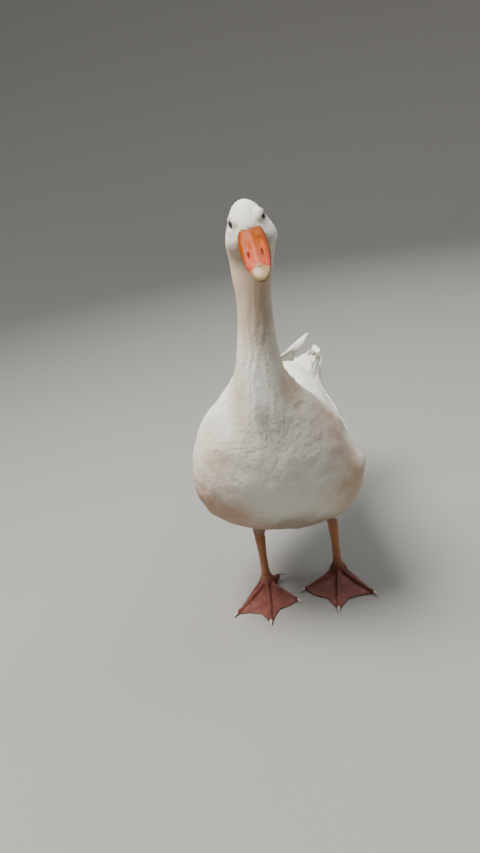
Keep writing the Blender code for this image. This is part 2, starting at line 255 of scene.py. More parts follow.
def setAttribute(mesh, name, values):
    values = np.asarray(values, np.float32)
    kind = "FLOAT" if values.ndim == 1 else "FLOAT_VECTOR"
    made = mesh.attributes.get(name) or mesh.attributes.new(name, kind, "POINT")
    made.data.foreach_set("value" if values.ndim == 1 else "vector", values.ravel())


def averaged(mesh, values, turns):  # spreads a field over the mesh along its edges
    edges = np.empty(len(mesh.edges) * 2, int)
    mesh.edges.foreach_get("vertices", edges)
    a, b = edges.reshape(-1, 2).T
    count = len(mesh.vertices)
    near = np.bincount(a, minlength=count) + np.bincount(b, minlength=count) + 1.0
    for _ in range(turns):
        summed = np.bincount(a, values[b], count) + np.bincount(b, values[a], count)
        values = (values + summed) / near
    return values


def smoothly(low, high, values):
    t = np.clip((np.asarray(values, float) - low) / (high - low), 0, 1)
    return t * t * (3 - 2 * t)


def unit(vectors):
    return vectors / np.maximum(np.linalg.norm(vectors, axis=-1, keepdims=True), 1e-9)


def noiseAt(places, size, seed=0.0):
    shift = Vector((seed, seed * 0.7, -seed))
    return np.array([noise.noise(Vector(p) / size + shift) for p in places])


def treeOf(mesh):
    corners = [v.co.copy() for v in mesh.vertices]
    return BVHTree.FromPolygons(corners, [list(p.vertices) for p in mesh.polygons])


def printTriangles(name, mesh):
    print(name, "has", sum(len(f.vertices) - 2 for f in mesh.polygons), "triangles")


def splined(points, perSpan):
    points = np.array(points, float)
    last = len(points) - 1
    made = []
    for i in range(last):
        before, start, end, after = (points[min(max(k, 0), last)] for k in (i - 1, i, i + 1, i + 2))
        for t in np.arange(perSpan) / perSpan:
            bend = (2 * before - 5 * start + 4 * end - after) * t**2
            twist = (3 * start - before - 3 * end + after) * t**3
            made.append(0.5 * (2 * start + (end - before) * t + bend + twist))
    return np.array(made + [points[last]])


def middle(nodeName):
    low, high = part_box(nodeName)
    return (low + high) / 2


# where the face is, from the eyes and the bill's nail
nailBelow = 16.1  # degrees by which the nail lies below straight ahead of the eyes
eyeMiddle = (middle("eye_left") + middle("eye_right")) / 2
faceRight = (middle("eye_left") - middle("eye_right")).normalized()  # the goose's left
toNail = middle("bill_nail") - eyeMiddle
toNail = (toNail - faceRight * toNail.dot(faceRight)).normalized()
faceAhead = Matrix.Rotation(math.radians(-nailBelow), 3, faceRight) @ toNail
faceUp = faceAhead.cross(faceRight)
eyeRadius = (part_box("eye_left")[1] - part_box("eye_left")[0]).length / 2 / math.sqrt(3)


def inFace(places):  # ahead, side and up of each place, from between the eyes
    away = np.asarray(places, float) - np.array(eyeMiddle)
    return np.stack([away @ np.array(axis) for axis in (faceAhead, faceRight, faceUp)], axis=-1)


def fromFace(ahead, side, up):
    return eyeMiddle + faceAhead * ahead + faceRight * side + faceUp * up


# the bird's centre line, from bill to tail, which the lie of the coat follows
trunkLow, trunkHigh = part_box("trunk")
bodyLength = trunkHigh.y - trunkLow.y
bodyHeight = trunkHigh.z - trunkLow.z


def inTrunk(ahead, up):  # shares of the trunk's length from its front, and of its height
    return Vector((middle("trunk").x, trunkLow.y + bodyLength * ahead, trunkLow.z + bodyHeight * up))


centreLine = splined(
    [
        fromFace(0.035, 0, -0.02),
        fromFace(0.0, 0, -0.004),
        fromFace(-0.022, 0, -0.014),
        middle("neck_upper"),
        middle("neck_middle"),
        middle("neck_lower"),
        inTrunk(0.17, 0.55),
        inTrunk(0.34, 0.38),
        inTrunk(0.60, 0.36),
        inTrunk(0.85, 0.42),
        middle("tail"),
        middle("tail") + Vector((0, 0.08, 0.01)),
    ],
    8,
)


def gapsToLine(places):
    return np.linalg.norm(places[:, None, :] - centreLine[None, :, :], axis=2)


def lineWeights(places, reach):  # how much each point of the centre line counts at each place
    gaps = gapsToLine(places)
    return np.exp(-((gaps - gaps.min(1, keepdims=True)) / reach))


def alongLine(places):  # each place's station on the centre line, 0 at the bill and 1 at the tail
    weights = lineWeights(places, 0.012)
    stations = np.arange(len(centreLine)) / (len(centreLine) - 1)
    return (weights * stations).sum(1) / weights.sum(1)


def lieOfCoat(places, normals, onLeg):
    tangents = unit(np.gradient(centreLine, axis=0))
    flow = unit(lineWeights(places, 0.03) @ tangents)
    downLeg = np.array((0, 0.15, -1.0))
    flow = unit(flow * (1 - onLeg[:, None]) + downLeg * onLeg[:, None])
    flow -= normals * (flow * normals).sum(1, keepdims=True)
    return unit(flow)


# the skin
skinSizes = {
    "voxel": 0.0027,
    "swell": 0.0005,
    "smooth": 8,
    "evened": 30,  # turns of evening out, and more of them above the height at which the head begins
    "headEvened": 45,
    "headBegins": 0.49,
    "coatDepth": {"head": 0.0007, "neck_upper": 0.0011, "neck_middle": 0.0020, "neck_lower": 0.0030,
                  "trunk": 0.0050, "wing_left": 0.0022, "wing_right": 0.0022, "tail": 0.0012,
                  "thigh_left": 0.0030, "thigh_right": 0.0030},
    "eyeOpening": (0.0048, 0.0039),  # half the length and half the height of the opening between the lids
    "eyeForward": 21.0,  # degrees by which the eyes look ahead of straight sideways
    "eyeUpward": 10.0,
    "eyeInset": 0.0008,  # how far the eye's ball lies in from the solid one, under the lids
    "lidHeight": 0.0003,
    "browFall": 0.00120,  # how the face falls away round the eye, and how softly it meets the skull
    "browSoft": 0.0003,
    # place, reach and height: the left wing's bend stands out, with a dip above it, and so does the cheek
    "bumps": [
        ((0.110, -0.124, 0.232), 0.018, 0.0100),
        ((0.109, -0.102, 0.226), 0.014, 0.0050),
        ((0.101, -0.122, 0.270), 0.014, -0.0050),
        ((0.046, -0.183, 0.527), 0.010, 0.0014),
    ],
    "lores": 0.0016,  # how far the face is hollowed between eye and bill, and where, ahead and up
    "loresMiddle": (0.013, -0.003),
    "loresReach": (0.0055, 0.007),
    "ballSunk": 0.0022,  # how far the skin lies under the eye's ball, inside the lids
    "lumps": [(0.65, 0.032, 0.0), (0.40, 0.014, 5.0)],  # share, size and seed of the breast's clumps
    "lumpShare": 0.52,  # how much of the coat's depth goes into clumps, and into the neck's furrows
    "furrowShare": 0.16,
    "furrowTurn": 15,
    "fleshEnd": 0.077,  # height down to which the thigh's flesh runs into the shank
    "stockingEnd": 0.107,  # height at which the feathers end and the bare leg begins
    "feathersOnly": {"wing_left": 0.036, "wing_right": 0.040, "tail": 0.030},  # at the tips
}
fleshNodes = list(skinSizes["coatDepth"])
thighs = ("thigh_left", "thigh_right")
wings = ("wing_left", "wing_right")
faceSizes = {  # along the bill, ahead of the eyes
    "featherLine": 0.0195,
    "nostril": 0.0470,
    "nailRoot": 0.0665,
}


def cutShort(nodeName, axis, limit, swell):  # a node's mesh, flattened where it would pass the limit
    mesh = swollen(solidCopy(nodeName), swell)
    places = placesOf(mesh)
    over = np.maximum(places @ np.array(axis) - limit, 0)
    setPlaces(mesh, places - np.array(axis) * over[:, None])
    return mesh


def fleshShells():
    sizes = skinSizes
    whole = [name for name in fleshNodes if name not in sizes["feathersOnly"]]
    shells = [swollen(solidCopy(name), sizes["swell"]) for name in whole]
    for name, length in sizes["feathersOnly"].items():  # the tips are made of feathers alone
        shells.append(cutShort(name, (0, 1, 0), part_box(name)[1].y - length, sizes["swell"]))
    billRoot = faceAhead.dot(eyeMiddle) + faceSizes["featherLine"] - 0.001
    shells += [cutShort(name, faceAhead, billRoot, 0.0) for name in ("bill_upper", "bill_lower")]
    for sideName in sides:
        shells.append(eyePlug(sideName))
        shells.append(cutShort(f"shank_{sideName}", (0, 0, -1), -sizes["fleshEnd"], 0.0004))
    return shells


def eyePlug(sideName):
    shape = bmesh.new()
    bmesh.ops.create_icosphere(shape, subdivisions=3, radius=eyeRadius * 0.96)
    shape.transform(Matrix.Translation(Vector(eyeFrame(sideName)[0])))
    return meshOf(shape, "eyePlug")


def nearestNodes(places):  # the name of the flesh node nearest to each place
    corners, faces, owners = [], [], []
    for name in fleshNodes:
        mesh = solidCopy(name)
        start = len(corners)
        corners += [v.co.copy() for v in mesh.vertices]
        for face in mesh.polygons:
            faces.append([start + i for i in face.vertices])
            owners.append(name)
    tree = BVHTree.FromPolygons(corners, faces)
    return np.array([owners[tree.find_nearest(p)[2]] for p in places])


def refineFace(mesh):  # finer faces round the eyes and the bill's root
    shape = bmesh.new()
    shape.from_mesh(mesh)
    for reach in (0.030, 0.026):
        edges = []
        for edge in shape.edges:
            place = inFace([(edge.verts[0].co + edge.verts[1].co) / 2])[0]
            nearEye = math.hypot(place[0], abs(place[1]) - 0.02, place[2]) < reach * 0.6
            atBill = place[0] > max(0.004, 0.030 - reach) and place[2] > -0.035
            if nearEye or atBill:
                edges.append(edge)
        bmesh.ops.subdivide_edges(shape, edges=edges, cuts=1, use_grid_fill=True, smooth=0.3)
    bmesh.ops.triangulate(shape, faces=[f for f in shape.faces if len(f.verts) > 4])
    shape.to_mesh(mesh)
    shape.free()
    return mesh


def eyeFrame(sideName):  # the eye's middle, the way it looks, and back and up across that
    angle = math.radians(skinSizes["eyeForward"])
    look = faceRight * (sides[sideName] * math.cos(angle)) + faceAhead * math.sin(angle)
    look = (look + faceUp * math.tan(math.radians(skinSizes["eyeUpward"]))).normalized()
    back = faceUp.cross(look).normalized()
    centre = middle(f"eye_{sideName}") - look * skinSizes["eyeInset"]
    return np.array(centre), np.array(look), np.array(back), np.array(look.cross(back))


def eyeShares(sideName, places):  # 1 at the rim of the eye's opening, and how far out each place lies
    centre, look, back, up = eyeFrame(sideName)
    away = places - centre
    halfLength, halfHeight = skinSizes["eyeOpening"]
    return np.hypot(away @ back / halfLength, away @ up / halfHeight), away @ look


def shapeLids(places):  # fills out round each eye, hollows the lores and sets the lids' rims on the eye
    sizes = skinSizes
    for sideName, side in sides.items():
        share, out = eyeShares(sideName, places)
        reach = np.mean(sizes["eyeOpening"])
        edge = math.sqrt(eyeRadius**2 - reach**2)
        dome = edge - sizes["browFall"] * (share - 1) ** 2
        full = sizes["browSoft"] * np.logaddexp(0, (dome - out) / sizes["browSoft"])
        full *= (1 - smoothly(1.7, 2.8, share)) * (out > -0.004)
        places = places + eyeFrame(sideName)[1] * full[:, None]
        face = inFace(places)
        (midAhead, midUp), (reachAhead, reachUp) = sizes["loresMiddle"], sizes["loresReach"]
        hollow = -(((face[:, 0] - midAhead) / reachAhead) ** 2) - ((face[:, 2] - midUp) / reachUp) ** 2
        hollow = np.exp(hollow)
        hollow *= smoothly(0.004, 0.012, face[:, 1] * side) * smoothly(1.3, 2.0, share)
        places = places - np.array(faceRight) * (side * sizes["lores"] * hollow)[:, None]
        share, out = eyeShares(sideName, places)
        rim = edge + sizes["lidHeight"] * np.exp(-(((share - 1.15) / 0.18) ** 2))
        inside = np.sqrt(np.maximum(eyeRadius**2 - (share * reach) ** 2, 0)) - sizes["ballSunk"]
        wanted = np.where(share < 1.0, inside, rim)
        hold = (1 - smoothly(1.10, 1.75, share)) * (out > -0.003)
        places = places + eyeFrame(sideName)[1] * ((wanted - out) * hold)[:, None]
    return places


def bareLeg(owner, places):  # where the thigh's feathers have ended and the leg's skin shows
    end = skinSizes["stockingEnd"] + 0.0035 * noiseAt(places, 0.004, 9.0)
    return np.isin(owner, thighs) & (places[:, 2] < end)


def bumps(places):
    made = np.zeros(len(places))
    for place, reach, height in skinSizes["bumps"]:
        away = np.linalg.norm(places - np.array(place), axis=1) / reach
        made += height * np.exp(-(away**2))
    return made


def furrows(places, stations):  # the neck's feathers stand in fine upright folds
    aroundNeck = smoothly(0.17, 0.24, stations) * (1 - smoothly(0.44, 0.52, stations))
    near = centreLine[np.argmin(gapsToLine(places), axis=1)]
    away = places - near
    turn = np.arctan2(away[:, 0], -away[:, 1])
    wander = noiseAt(places * np.array([1, 1, 0.35]), 0.012, 3.0)
    return aroundNeck * np.sin(turn * skinSizes["furrowTurn"] + wander * 5.0)


def thicknesses(mesh, places, normals):  # how thick the flesh is under each place
    tree = treeOf(mesh)
    made = []
    for place, normal in zip(places, normals):
        inward = -Vector(normal)
        hit = tree.ray_cast(Vector(place) + inward * 1e-4, inward, 0.03)
        made.append(hit[3] if hit[0] else 0.03)
    return np.array(made)


def withoutFacets(mesh, turns, above=0.0):  # evens out facets, by turns in and out so that nothing shrinks
    places = placesOf(mesh)
    held = smoothly(above - 0.02, above, places[:, 2])[:, None] if above else 1.0
    for _ in range(turns):
        for share in (0.9, -0.94):
            near = np.stack([averaged(mesh, places[:, k], 1) for k in range(3)], axis=1)
            places = places + (near - places) * share * held
    setPlaces(mesh, places)


def buildSkin():
    mesh = remeshed(joined(fleshShells(), "flesh"), skinSizes["voxel"], skinSizes["smooth"])
    withoutFacets(mesh, skinSizes["evened"])
    withoutFacets(mesh, skinSizes["headEvened"], skinSizes["headBegins"])
    mesh = refineFace(mesh)
    places, normals = placesOf(mesh), normalsOf(mesh)
    owner = nearestNodes(places)
    stations = alongLine(places)
    depth = np.array([skinSizes["coatDepth"][name] for name in owner])
    depth = averaged(mesh, depth, 14)
    depth *= 1 - 0.85 * averaged(mesh, bareLeg(owner, places) * 1.0, 3)
    depth = np.minimum(depth, averaged(mesh, thicknesses(mesh, places, normals) * 0.3, 4))
    face = inFace(places)
    depth *= 1 - 0.65 * smoothly(0.012, 0.022, face[:, 0]) * (stations < 0.15)
    lumps = sum(share * noiseAt(places, size, seed) for share, size, seed in skinSizes["lumps"])
    lumps *= smoothly(0.40, 0.55, stations) * (owner == "trunk")
    raised = skinSizes["lumpShare"] * lumps + skinSizes["furrowShare"] * furrows(places, stations)
    clumped = depth * (1 + raised)
    inset = shapeLids(places - normals * (depth - bumps(places))[:, None])
    setPlaces(mesh, inset)
    onLeg = np.isin(owner, thighs) * smoothly(trunkLow.z + 0.03, trunkLow.z + 0.008, inset[:, 2])
    lie = lieOfCoat(inset, normalsOf(mesh), onLeg)
    fields = {"depth": clumped, "skinNormal": normalsOf(mesh), "lie": lie}
    for name, values in fields.items():
        setAttribute(mesh, name, values)
    return mesh, owner, inset, lie


def selectOnly(*pieces):
    for thing in bpy.context.scene.objects:
        thing.select_set(thing in pieces)
    bpy.context.view_layer.objects.active = pieces[0]


def unwrap(piece):  # the skin's own unwrap, which every feather's patch is placed by
    selectOnly(piece)
    bpy.ops.object.mode_set(mode="EDIT")
    bpy.ops.mesh.select_all(action="SELECT")
    bpy.ops.uv.smart_project(angle_limit=math.radians(75), island_margin=0.002)
    bpy.ops.object.mode_set(mode="OBJECT")
    piece.data.uv_layers.active.name = "OFBake"


# markings and painted shade and light, the same on skin and feathers
plumageLooks = {
    "white": (0.86, 0.845, 0.765),
    # painted shade at the feathers' roots
    "shade": (0.55, 0.51, 0.45),
    "drab": (0.62, 0.56, 0.48),  # each feather has its own small share of it
    "dirt": (0.27, 0.26, 0.21),
    "skin": (0.80, 0.62, 0.55),
    # warm pink, partly a stain and partly painted warm shade on the flanks
    "blush": (0.45, 0.26, 0.175),
    "tan": (0.56, 0.40, 0.275),
    # dark mud colour, which also paints shade low on the belly
    "mud": (0.23, 0.172, 0.115),
    # painted cool shade
    "cool": (0.60, 0.64, 0.57),
    # painted highlight
    "bright": (0.96, 0.955, 0.93),
    "stains": [  # place and reach in metres, colour and strength; stains and dirt, with painted shade low on the flanks and belly, painted cool shade on the breast and a painted highlight on the wing's bend
        # partly mud, partly painted shade under the belly
        ((0.000, -0.125, 0.118), (0.120, 0.120, 0.072), "mud", 2.30),
        # partly a warm stain, partly painted shade low on the right flank
        ((-0.096, -0.140, 0.170), (0.078, 0.100, 0.078), "blush", 2.40),
        # partly a tan stain, partly painted shade low on the left flank
        ((0.108, -0.150, 0.200), (0.052, 0.085, 0.092), "tan", 1.40),
        # mostly painted shade with some mud, low on the belly's left side
        ((0.065, -0.130, 0.110), (0.070, 0.090, 0.052), "mud", 1.30),
        ((0.090, -0.150, 0.310), (0.045, 0.070, 0.066), "blush", 0.90),
        ((-0.065, -0.165, 0.270), (0.052, 0.060, 0.058), "tan", 0.85),
        ((-0.018, -0.190, 0.365), (0.018, 0.050, 0.080), "tan", 0.85),
        ((0.044, -0.180, 0.370), (0.018, 0.055, 0.075), "tan", 1.15),
        ((0.012, -0.180, 0.475), (0.055, 0.065, 0.068), "tan", 1.90),
        ((0.024, -0.205, 0.440), (0.022, 0.040, 0.050), "mud", 0.90),
        # painted cool shade on the breast and the neck's base
        ((0.020, -0.192, 0.235), (0.060, 0.060, 0.070), "cool", 0.50),
        ((0.014, -0.197, 0.385), (0.015, 0.032, 0.055), "cool", 0.45),
        ((0.009, -0.200, 0.332), (0.013, 0.032, 0.025), "dirt", 0.85),
        ((0.031, -0.200, 0.322), (0.016, 0.032, 0.023), "dirt", 0.70),
        # painted highlight on the left wing's bend
        ((0.115, -0.124, 0.246), (0.014, 0.022, 0.022), "bright", 0.60),
    ],
}


def markingsAndPaintedLight(board):  # a white bird with warm stains and dirt; partly painted shade on flanks and belly, painted cool shade on the breast, a painted highlight on the wing's bend
    looks = plumageLooks
    place = board.here()
    cloud = board.noise(place, 18.0, 4.0, 0.6)
    speck = board.noise(place, 160.0, 3.0)
    uneven = cloud.between(0.30, 0.62) * 0.50 + 0.50
    colour = looks["white"]
    for middlePlace, reach, name, strength in looks["stains"]:
        away = board.vector("DIVIDE", board.vector("SUBTRACT", place, middlePlace), reach)
        distance = board.vector("LENGTH", away, out="Value")
        share = ((1 - distance.between(0.0, 1.45)) * strength * uneven).between(-0.1, 1.1)
        colour = board.mix(share, colour, looks[name])
    return board.mix(speck.between(0.55, 0.75) * 0.06, colour, looks["dirt"]), place


def plumageMaterial():
    material, board = newMaterial("plumage")
    colour = markingsAndPaintedLight(board)[0]
    across, along, shade = board.read("across"), board.read("along"), board.read("shade")
    # painted shade: each feather darker towards its root, where the feather over it shades it
    colour = board.mix((1 - along.between(0.0, 0.55)) * 0.10, colour, plumageLooks["shade"])
    colour = board.mix(shade * 0.09, colour, plumageLooks["drab"])
    edge = across.math("ABSOLUTE", across) * 2.0
    barbs = (along * 46.0 + edge * 9.0).math("SINE", along * 260.0 + edge * 60.0)
    shaft = 1 - edge.between(0.0, 0.16)
    finishMaterial(board, colour, 0.78, (barbs * 0.25 + shaft * 0.7, 0.18, 0.0005),
                   Specular_IOR_Level=0.2, Sheen_Weight=0.04, Subsurface_Weight=0.10, Subsurface_Scale=0.003)
    return material


def skinMaterial():
    material, board = newMaterial("skinUnderPlumage")
    colour, place = markingsAndPaintedLight(board)
    pores = board.noise(place, 700.0, 2.0)
    colour = board.mix(pores.between(0.3, 0.8) * 0.25, colour, plumageLooks["skin"])
    finishMaterial(board, colour, 0.7, (pores, 0.3, 0.0004), Specular_IOR_Level=0.2,
                   Subsurface_Weight=0.1, Subsurface_Scale=0.003)
    return material


# legs
legLooks = {
    "shank": (0.44, 0.20, 0.095),
    # the feet's dark red-brown is partly painted shade, where the body shades them
    "foot": (0.165, 0.047, 0.038),
    "pale": (0.30, 0.125, 0.090),
    "hock": (0.33, 0.155, 0.105),
    "mud": (0.040, 0.030, 0.024),
    "scaleSize": 300.0,
    "footTop": (0.010, 0.035),  # heights over which one colour gives way to the next
    "hockFrom": (0.075, 0.100),
    "muddyTo": (0.006, 0.03),
}


def legMaterial():
    looks = legLooks
    material, board = newMaterial("legSkin")
    place = board.here()
    height = board.add("ShaderNodeSeparateXYZ", {}, {"Vector": place}, "Z")
    scales = {"Vector": place, "Scale": looks["scaleSize"], "Randomness": 0.75}
    cells = board.add("ShaderNodeTexVoronoi", {"feature": "DISTANCE_TO_EDGE"}, scales)
    cloud = board.noise(place, 60.0, 5.0, 0.62)
    spots = board.add("ShaderNodeTexVoronoi", {}, {"Vector": place, "Scale": 190.0}, "Distance")
    # painted shade: the feet darker than the shank, partly for the shade under the body
    colour = board.mix(height.between(*looks["footTop"]), looks["foot"], looks["shank"])
    colour = board.mix(height.between(*looks["hockFrom"]), colour, looks["hock"])
    colour = board.mix(cloud.between(0.45, 0.72) * 0.55, colour, looks["pale"])
    colour = board.mix((1 - cells.between(0.0, 0.12)) * 0.22, colour, looks["mud"])
    low = 1 - height.between(*looks["muddyTo"])
    dirty = (1 - spots.between(0.14, 0.32)) * cloud.between(0.46, 0.60) * low
    colour = board.mix(dirty * 0.7, colour, looks["mud"])
    grey = (1 - cloud.between(0.34, 0.46)) * low
    colour = board.mix(grey * 0.5, colour, looks["mud"])
    rough = 0.42 + cloud * 0.25
    finishMaterial(board, colour, rough, (cells.between(0.0, 0.22), 0.55, 0.0007),
                   Specular_IOR_Level=0.25, Subsurface_Weight=0.05, Subsurface_Scale=0.002)
    return material


legSizes = {"voxel": 0.0013, "swell": 0.0003, "ringSpacing": 0.0042, "ring": 0.00035, "knuckle": 0.00022}


def buildLegSkin():
    sizes = legSizes
    names = [f"{part}_{sideName}" for sideName in sides for part in ("shank", "foot")]
    shells = [swollen(solidCopy(name), sizes["swell"]) for name in names]
    mesh = remeshed(joined(shells, "legs"), sizes["voxel"], 6)
    places, normals = placesOf(mesh), normalsOf(mesh)
    height = places[:, 2]
    rings = np.abs(np.sin(height / sizes["ringSpacing"] * math.pi + 0.8 * np.sin(places[:, 0] * 300)))
    scutes = smoothly(0.02, 0.04, height) * (normals[:, 1] < 0.2) * (sizes["ring"] * rings)
    knuckles = (1 - smoothly(0.012, 0.02, height)) * (normals[:, 2] > 0.2) * sizes["knuckle"]
    ripple = knuckles * noiseAt(places, 0.004)
    places = places + normals * (scutes + ripple - 0.0002)[:, None]
    places[:, 2] = np.maximum(places[:, 2], 0.0001)
    setPlaces(mesh, places)
    return mesh


# feathers scattered over the skin
vaneShapes = {  # across and along: how many faces; widest: where, as a share of the length
    "tiny": {"across": 2, "along": 3, "widest": 0.55, "root": 0.5},
    "body": {"across": 3, "along": 4, "widest": 0.62, "root": 0.45},
}


uvPatch = 0.003  # how much of the skin's unwrap one feather takes


def vaneWidth(along, widest, root):
    rise = root + (1 - root) * math.sin(min(along / widest, 1.0) * math.pi / 2)
    past = max(0.0, (along - widest) / (1 - widest))
    return rise * math.sqrt(max(0.0, 1 - past**2.4))


def buildVane(name):  # a flat vane of unit size: root at 0, tip at 1 on Y, with its own across and along
    sizes = vaneShapes[name]
    places, faces = [], []
    columns = sizes["across"] + 1
    for i in range(sizes["along"] + 1):
        along = i / sizes["along"] * 0.94
        width = vaneWidth(along, sizes["widest"], sizes["root"])
        for k in range(columns):
            places.append(((k / sizes["across"] - 0.5) * width, along, 0.0))
    for i in range(sizes["along"]):
        for k in range(sizes["across"]):
            a = i * columns + k
            faces.append((a, a + 1, a + 1 + columns, a + columns))
    tip = len(places)
    places.append((0.0, 1.0, 0.0))
    last = sizes["along"] * columns
    faces += [(last + k, last + k + 1, tip) for k in range(sizes["across"])]
    mesh = meshFrom("vane_" + name, places, faces)
    setAttribute(mesh, "across", [p[0] for p in places])
    setAttribute(mesh, "along", [p[1] for p in places])
    return newPiece("vane_" + name, mesh)


coatDefaults = {  # what a plan leaves out
    "Spacing": 0.004, "Width": 0.6, "Length": 1.0, "Turn": 0.2, "Low": 0.8, "Raise": 0.2, "Cup": 0.2,
}


def buildScatterTree():
    tree = bpy.data.node_groups.new("scatterCoat", "GeometryNodeTree")
    face = tree.interface
    for name, kind in (("Skin", "Geometry"), ("Vane", "Object"), ("Finish", "Material"), ("Seed", "Int")):
        face.new_socket(name, in_out="INPUT", socket_type="NodeSocket" + kind)
    for name, value in coatDefaults.items():
        face.new_socket(name, in_out="INPUT", socket_type="NodeSocketFloat").default_value = value
    face.new_socket("Coat", in_out="OUTPUT", socket_type="NodeSocketGeometry")
    board = Board(tree)
    given = board.add("NodeGroupInput", {}, {}, "Skin")

    def named(name, kind="FLOAT"):
        return board.add("GeometryNodeInputNamedAttribute", {"data_type": kind}, {"Name": name}, "Attribute")

    def store(mesh, name, value, kind, domain="POINT"):
        sockets = {"Geometry": mesh, "Name": name, "Value": value}
        return board.add("GeometryNodeStoreNamedAttribute", {"data_type": kind, "domain": domain}, sockets)

    def random(low, high, seed):
        sockets = {2: low, 3: high, "Seed": seed}
        return board.add("FunctionNodeRandomValue", {"data_type": "FLOAT"}, sockets, 1)

    def onSkin(value, kind):
        sockets = {"Mesh": given, "Value": value, "Sample Position": position}
        return board.add("GeometryNodeSampleNearestSurface", {"data_type": kind}, sockets)

    density = 1.0 / (given.out("Spacing") * given.out("Spacing"))
    sockets = {"Mesh": given, "Distance Min": given.out("Spacing"), "Density Max": density,
               "Density Factor": named("cover"), "Seed": given.out("Seed")}
    method = {"distribute_method": "POISSON"}
    points = board.add("GeometryNodeDistributePointsOnFaces", method, sockets, "Points")
    points = store(points, "rootUv", named("OFBake", "FLOAT_VECTOR"), "FLOAT_VECTOR")
    points = store(points, "shade", random(0.0, 1.0, 11), "FLOAT")
    points = store(points, "loose", random(-1.0, 1.0, 12), "FLOAT")
    rotate = board.add("FunctionNodeAxesToRotation", {"primary_axis": "Z", "secondary_axis": "Y"},
                       {"Primary Axis": named("skinNormal", "FLOAT_VECTOR"),
                        "Secondary Axis": named("lie", "FLOAT_VECTOR")})
    turn = random(-1.0, 1.0, 13) * given.out("Turn")
    spin = board.add("FunctionNodeAxisAngleToRotation", {}, {"Axis": (0, 0, 1), "Angle": turn})
    rotate = board.add("FunctionNodeRotateRotation", {"rotation_space": "LOCAL"},
                       {"Rotation": rotate, "Rotate By": spin})
    length = named("featherLength") * given.out("Length") * random(0.78, 1.2, 14)
    width = length * given.out("Width") * random(0.85, 1.15, 15)
    scale = board.add("ShaderNodeCombineXYZ", {}, {"X": width, "Y": length, "Z": length})
    vane = board.add("GeometryNodeObjectInfo", {}, {"Object": given.out("Vane")}, "Geometry")
    feathers = board.add("GeometryNodeInstanceOnPoints", {},
                         {"Points": points, "Instance": vane, "Rotation": rotate, "Scale": scale})
    feathers = board.add("GeometryNodeRealizeInstances", {}, {"Geometry": feathers})
    # lay every vane on the skin, its root low and its tip at the coat's depth
    position = board.add("GeometryNodeInputPosition")
    foot = onSkin(position, "FLOAT_VECTOR")
    up = board.vector("NORMALIZE", onSkin(named("skinNormal", "FLOAT_VECTOR"), "FLOAT_VECTOR"))
    deep = onSkin(named("depth"), "FLOAT")
    along, across, loose = named("along"), named("across"), named("loose")
    low = given.out("Low")
    lift = low + (1 - low) * along.between(0.0, 1.0) + loose * given.out("Raise") * along
    droop = across * across * given.out("Cup") * 4.0
    high = deep * (lift - droop)
    offset = board.add("ShaderNodeVectorMath", {"operation": "SCALE"}, {0: up, "Scale": high}, "Vector")
    sockets = {"Geometry": feathers, "Position": board.vector("ADD", foot, offset)}
    feathers = board.add("GeometryNodeSetPosition", {}, sockets)
    patch = board.add("ShaderNodeCombineXYZ", {}, {"X": across * uvPatch, "Y": (along - 0.5) * uvPatch})
    uv = board.vector("ADD", named("rootUv", "FLOAT_VECTOR"), patch)
    feathers = store(feathers, "OFBake", uv, "FLOAT2", "CORNER")
    feathers = board.add("GeometryNodeSetShadeSmooth", {}, {"Geometry": feathers})
    sockets = {"Geometry": feathers, "Material": given.out("Finish")}
    feathers = board.add("GeometryNodeSetMaterial", {}, sockets)
    board.add("NodeGroupOutput", {}, {"Coat": feathers})
    return tree


def scatterCoat(name, skin, cover, tree, values):
    setAttribute(skin.data, "cover", cover)
    carrier = newPiece(name + "Carrier", skin.data.copy())
    grow = carrier.modifiers.new("coat", "NODES")
    grow.node_group = tree
    for item in tree.interface.items_tree:
        if item.in_out == "INPUT" and item.name in values:
            grow[item.identifier] = values[item.name]
    mesh = evaluated(carrier)
    piece = newPiece(name, mesh, values["Finish"])
    for extra in ("rootUv", "loose", "skinNormal", "lie", "cover", "depth", "featherLength"):
        if extra in mesh.attributes:
            mesh.attributes.remove(mesh.attributes[extra])
    printTriangles(name, mesh)
    return piece


coatPlans = {  # spacing between roots, and each region's feather; cover is worked out below
    "coatFace": {"Vane": "tiny", "Spacing": 0.00110, "Width": 0.58, "Turn": 0.16, "Low": 0.84, "Raise": 0.03,
                 "Cup": 0.08, "Seed": 3},
    "coatNeck": {"Vane": "tiny", "Spacing": 0.00150, "Width": 0.42, "Turn": 0.12, "Low": 0.86, "Raise": 0.04,
                 "Cup": 0.10, "Seed": 5},
    "coatBreast": {"Vane": "body", "Spacing": 0.0033, "Width": 0.64, "Turn": 0.28, "Low": 0.86, "Raise": 0.02,
                   "Cup": 0.07, "Seed": 7},
    "coatBelly": {"Vane": "body", "Spacing": 0.0044, "Width": 0.64, "Turn": 0.32, "Low": 0.84, "Raise": 0.03,
                  "Cup": 0.12, "Seed": 9},
    "coatBack": {"Vane": "body", "Spacing": 0.0046, "Width": 0.74, "Turn": 0.20, "Low": 0.84, "Raise": 0.04,
                 "Cup": 0.15, "Seed": 11},
    "coatThigh": {"Vane": "tiny", "Spacing": 0.0022, "Width": 0.50, "Turn": 0.25, "Low": 0.70, "Raise": 0.10,
                  "Cup": 0.15, "Seed": 15},
    "coatLoose": {"Vane": "tiny", "Spacing": 0.0060, "Width": 0.20, "Length": 1.1, "Turn": 0.40, "Low": 0.90,
                  "Raise": 0.35, "Cup": 0.10, "Seed": 17},
    "coatWings": {"Vane": "body", "Spacing": 0.0050, "Width": 0.66, "Turn": 0.14, "Low": 0.70, "Raise": 0.05,
                  "Cup": 0.15, "Seed": 13},
}
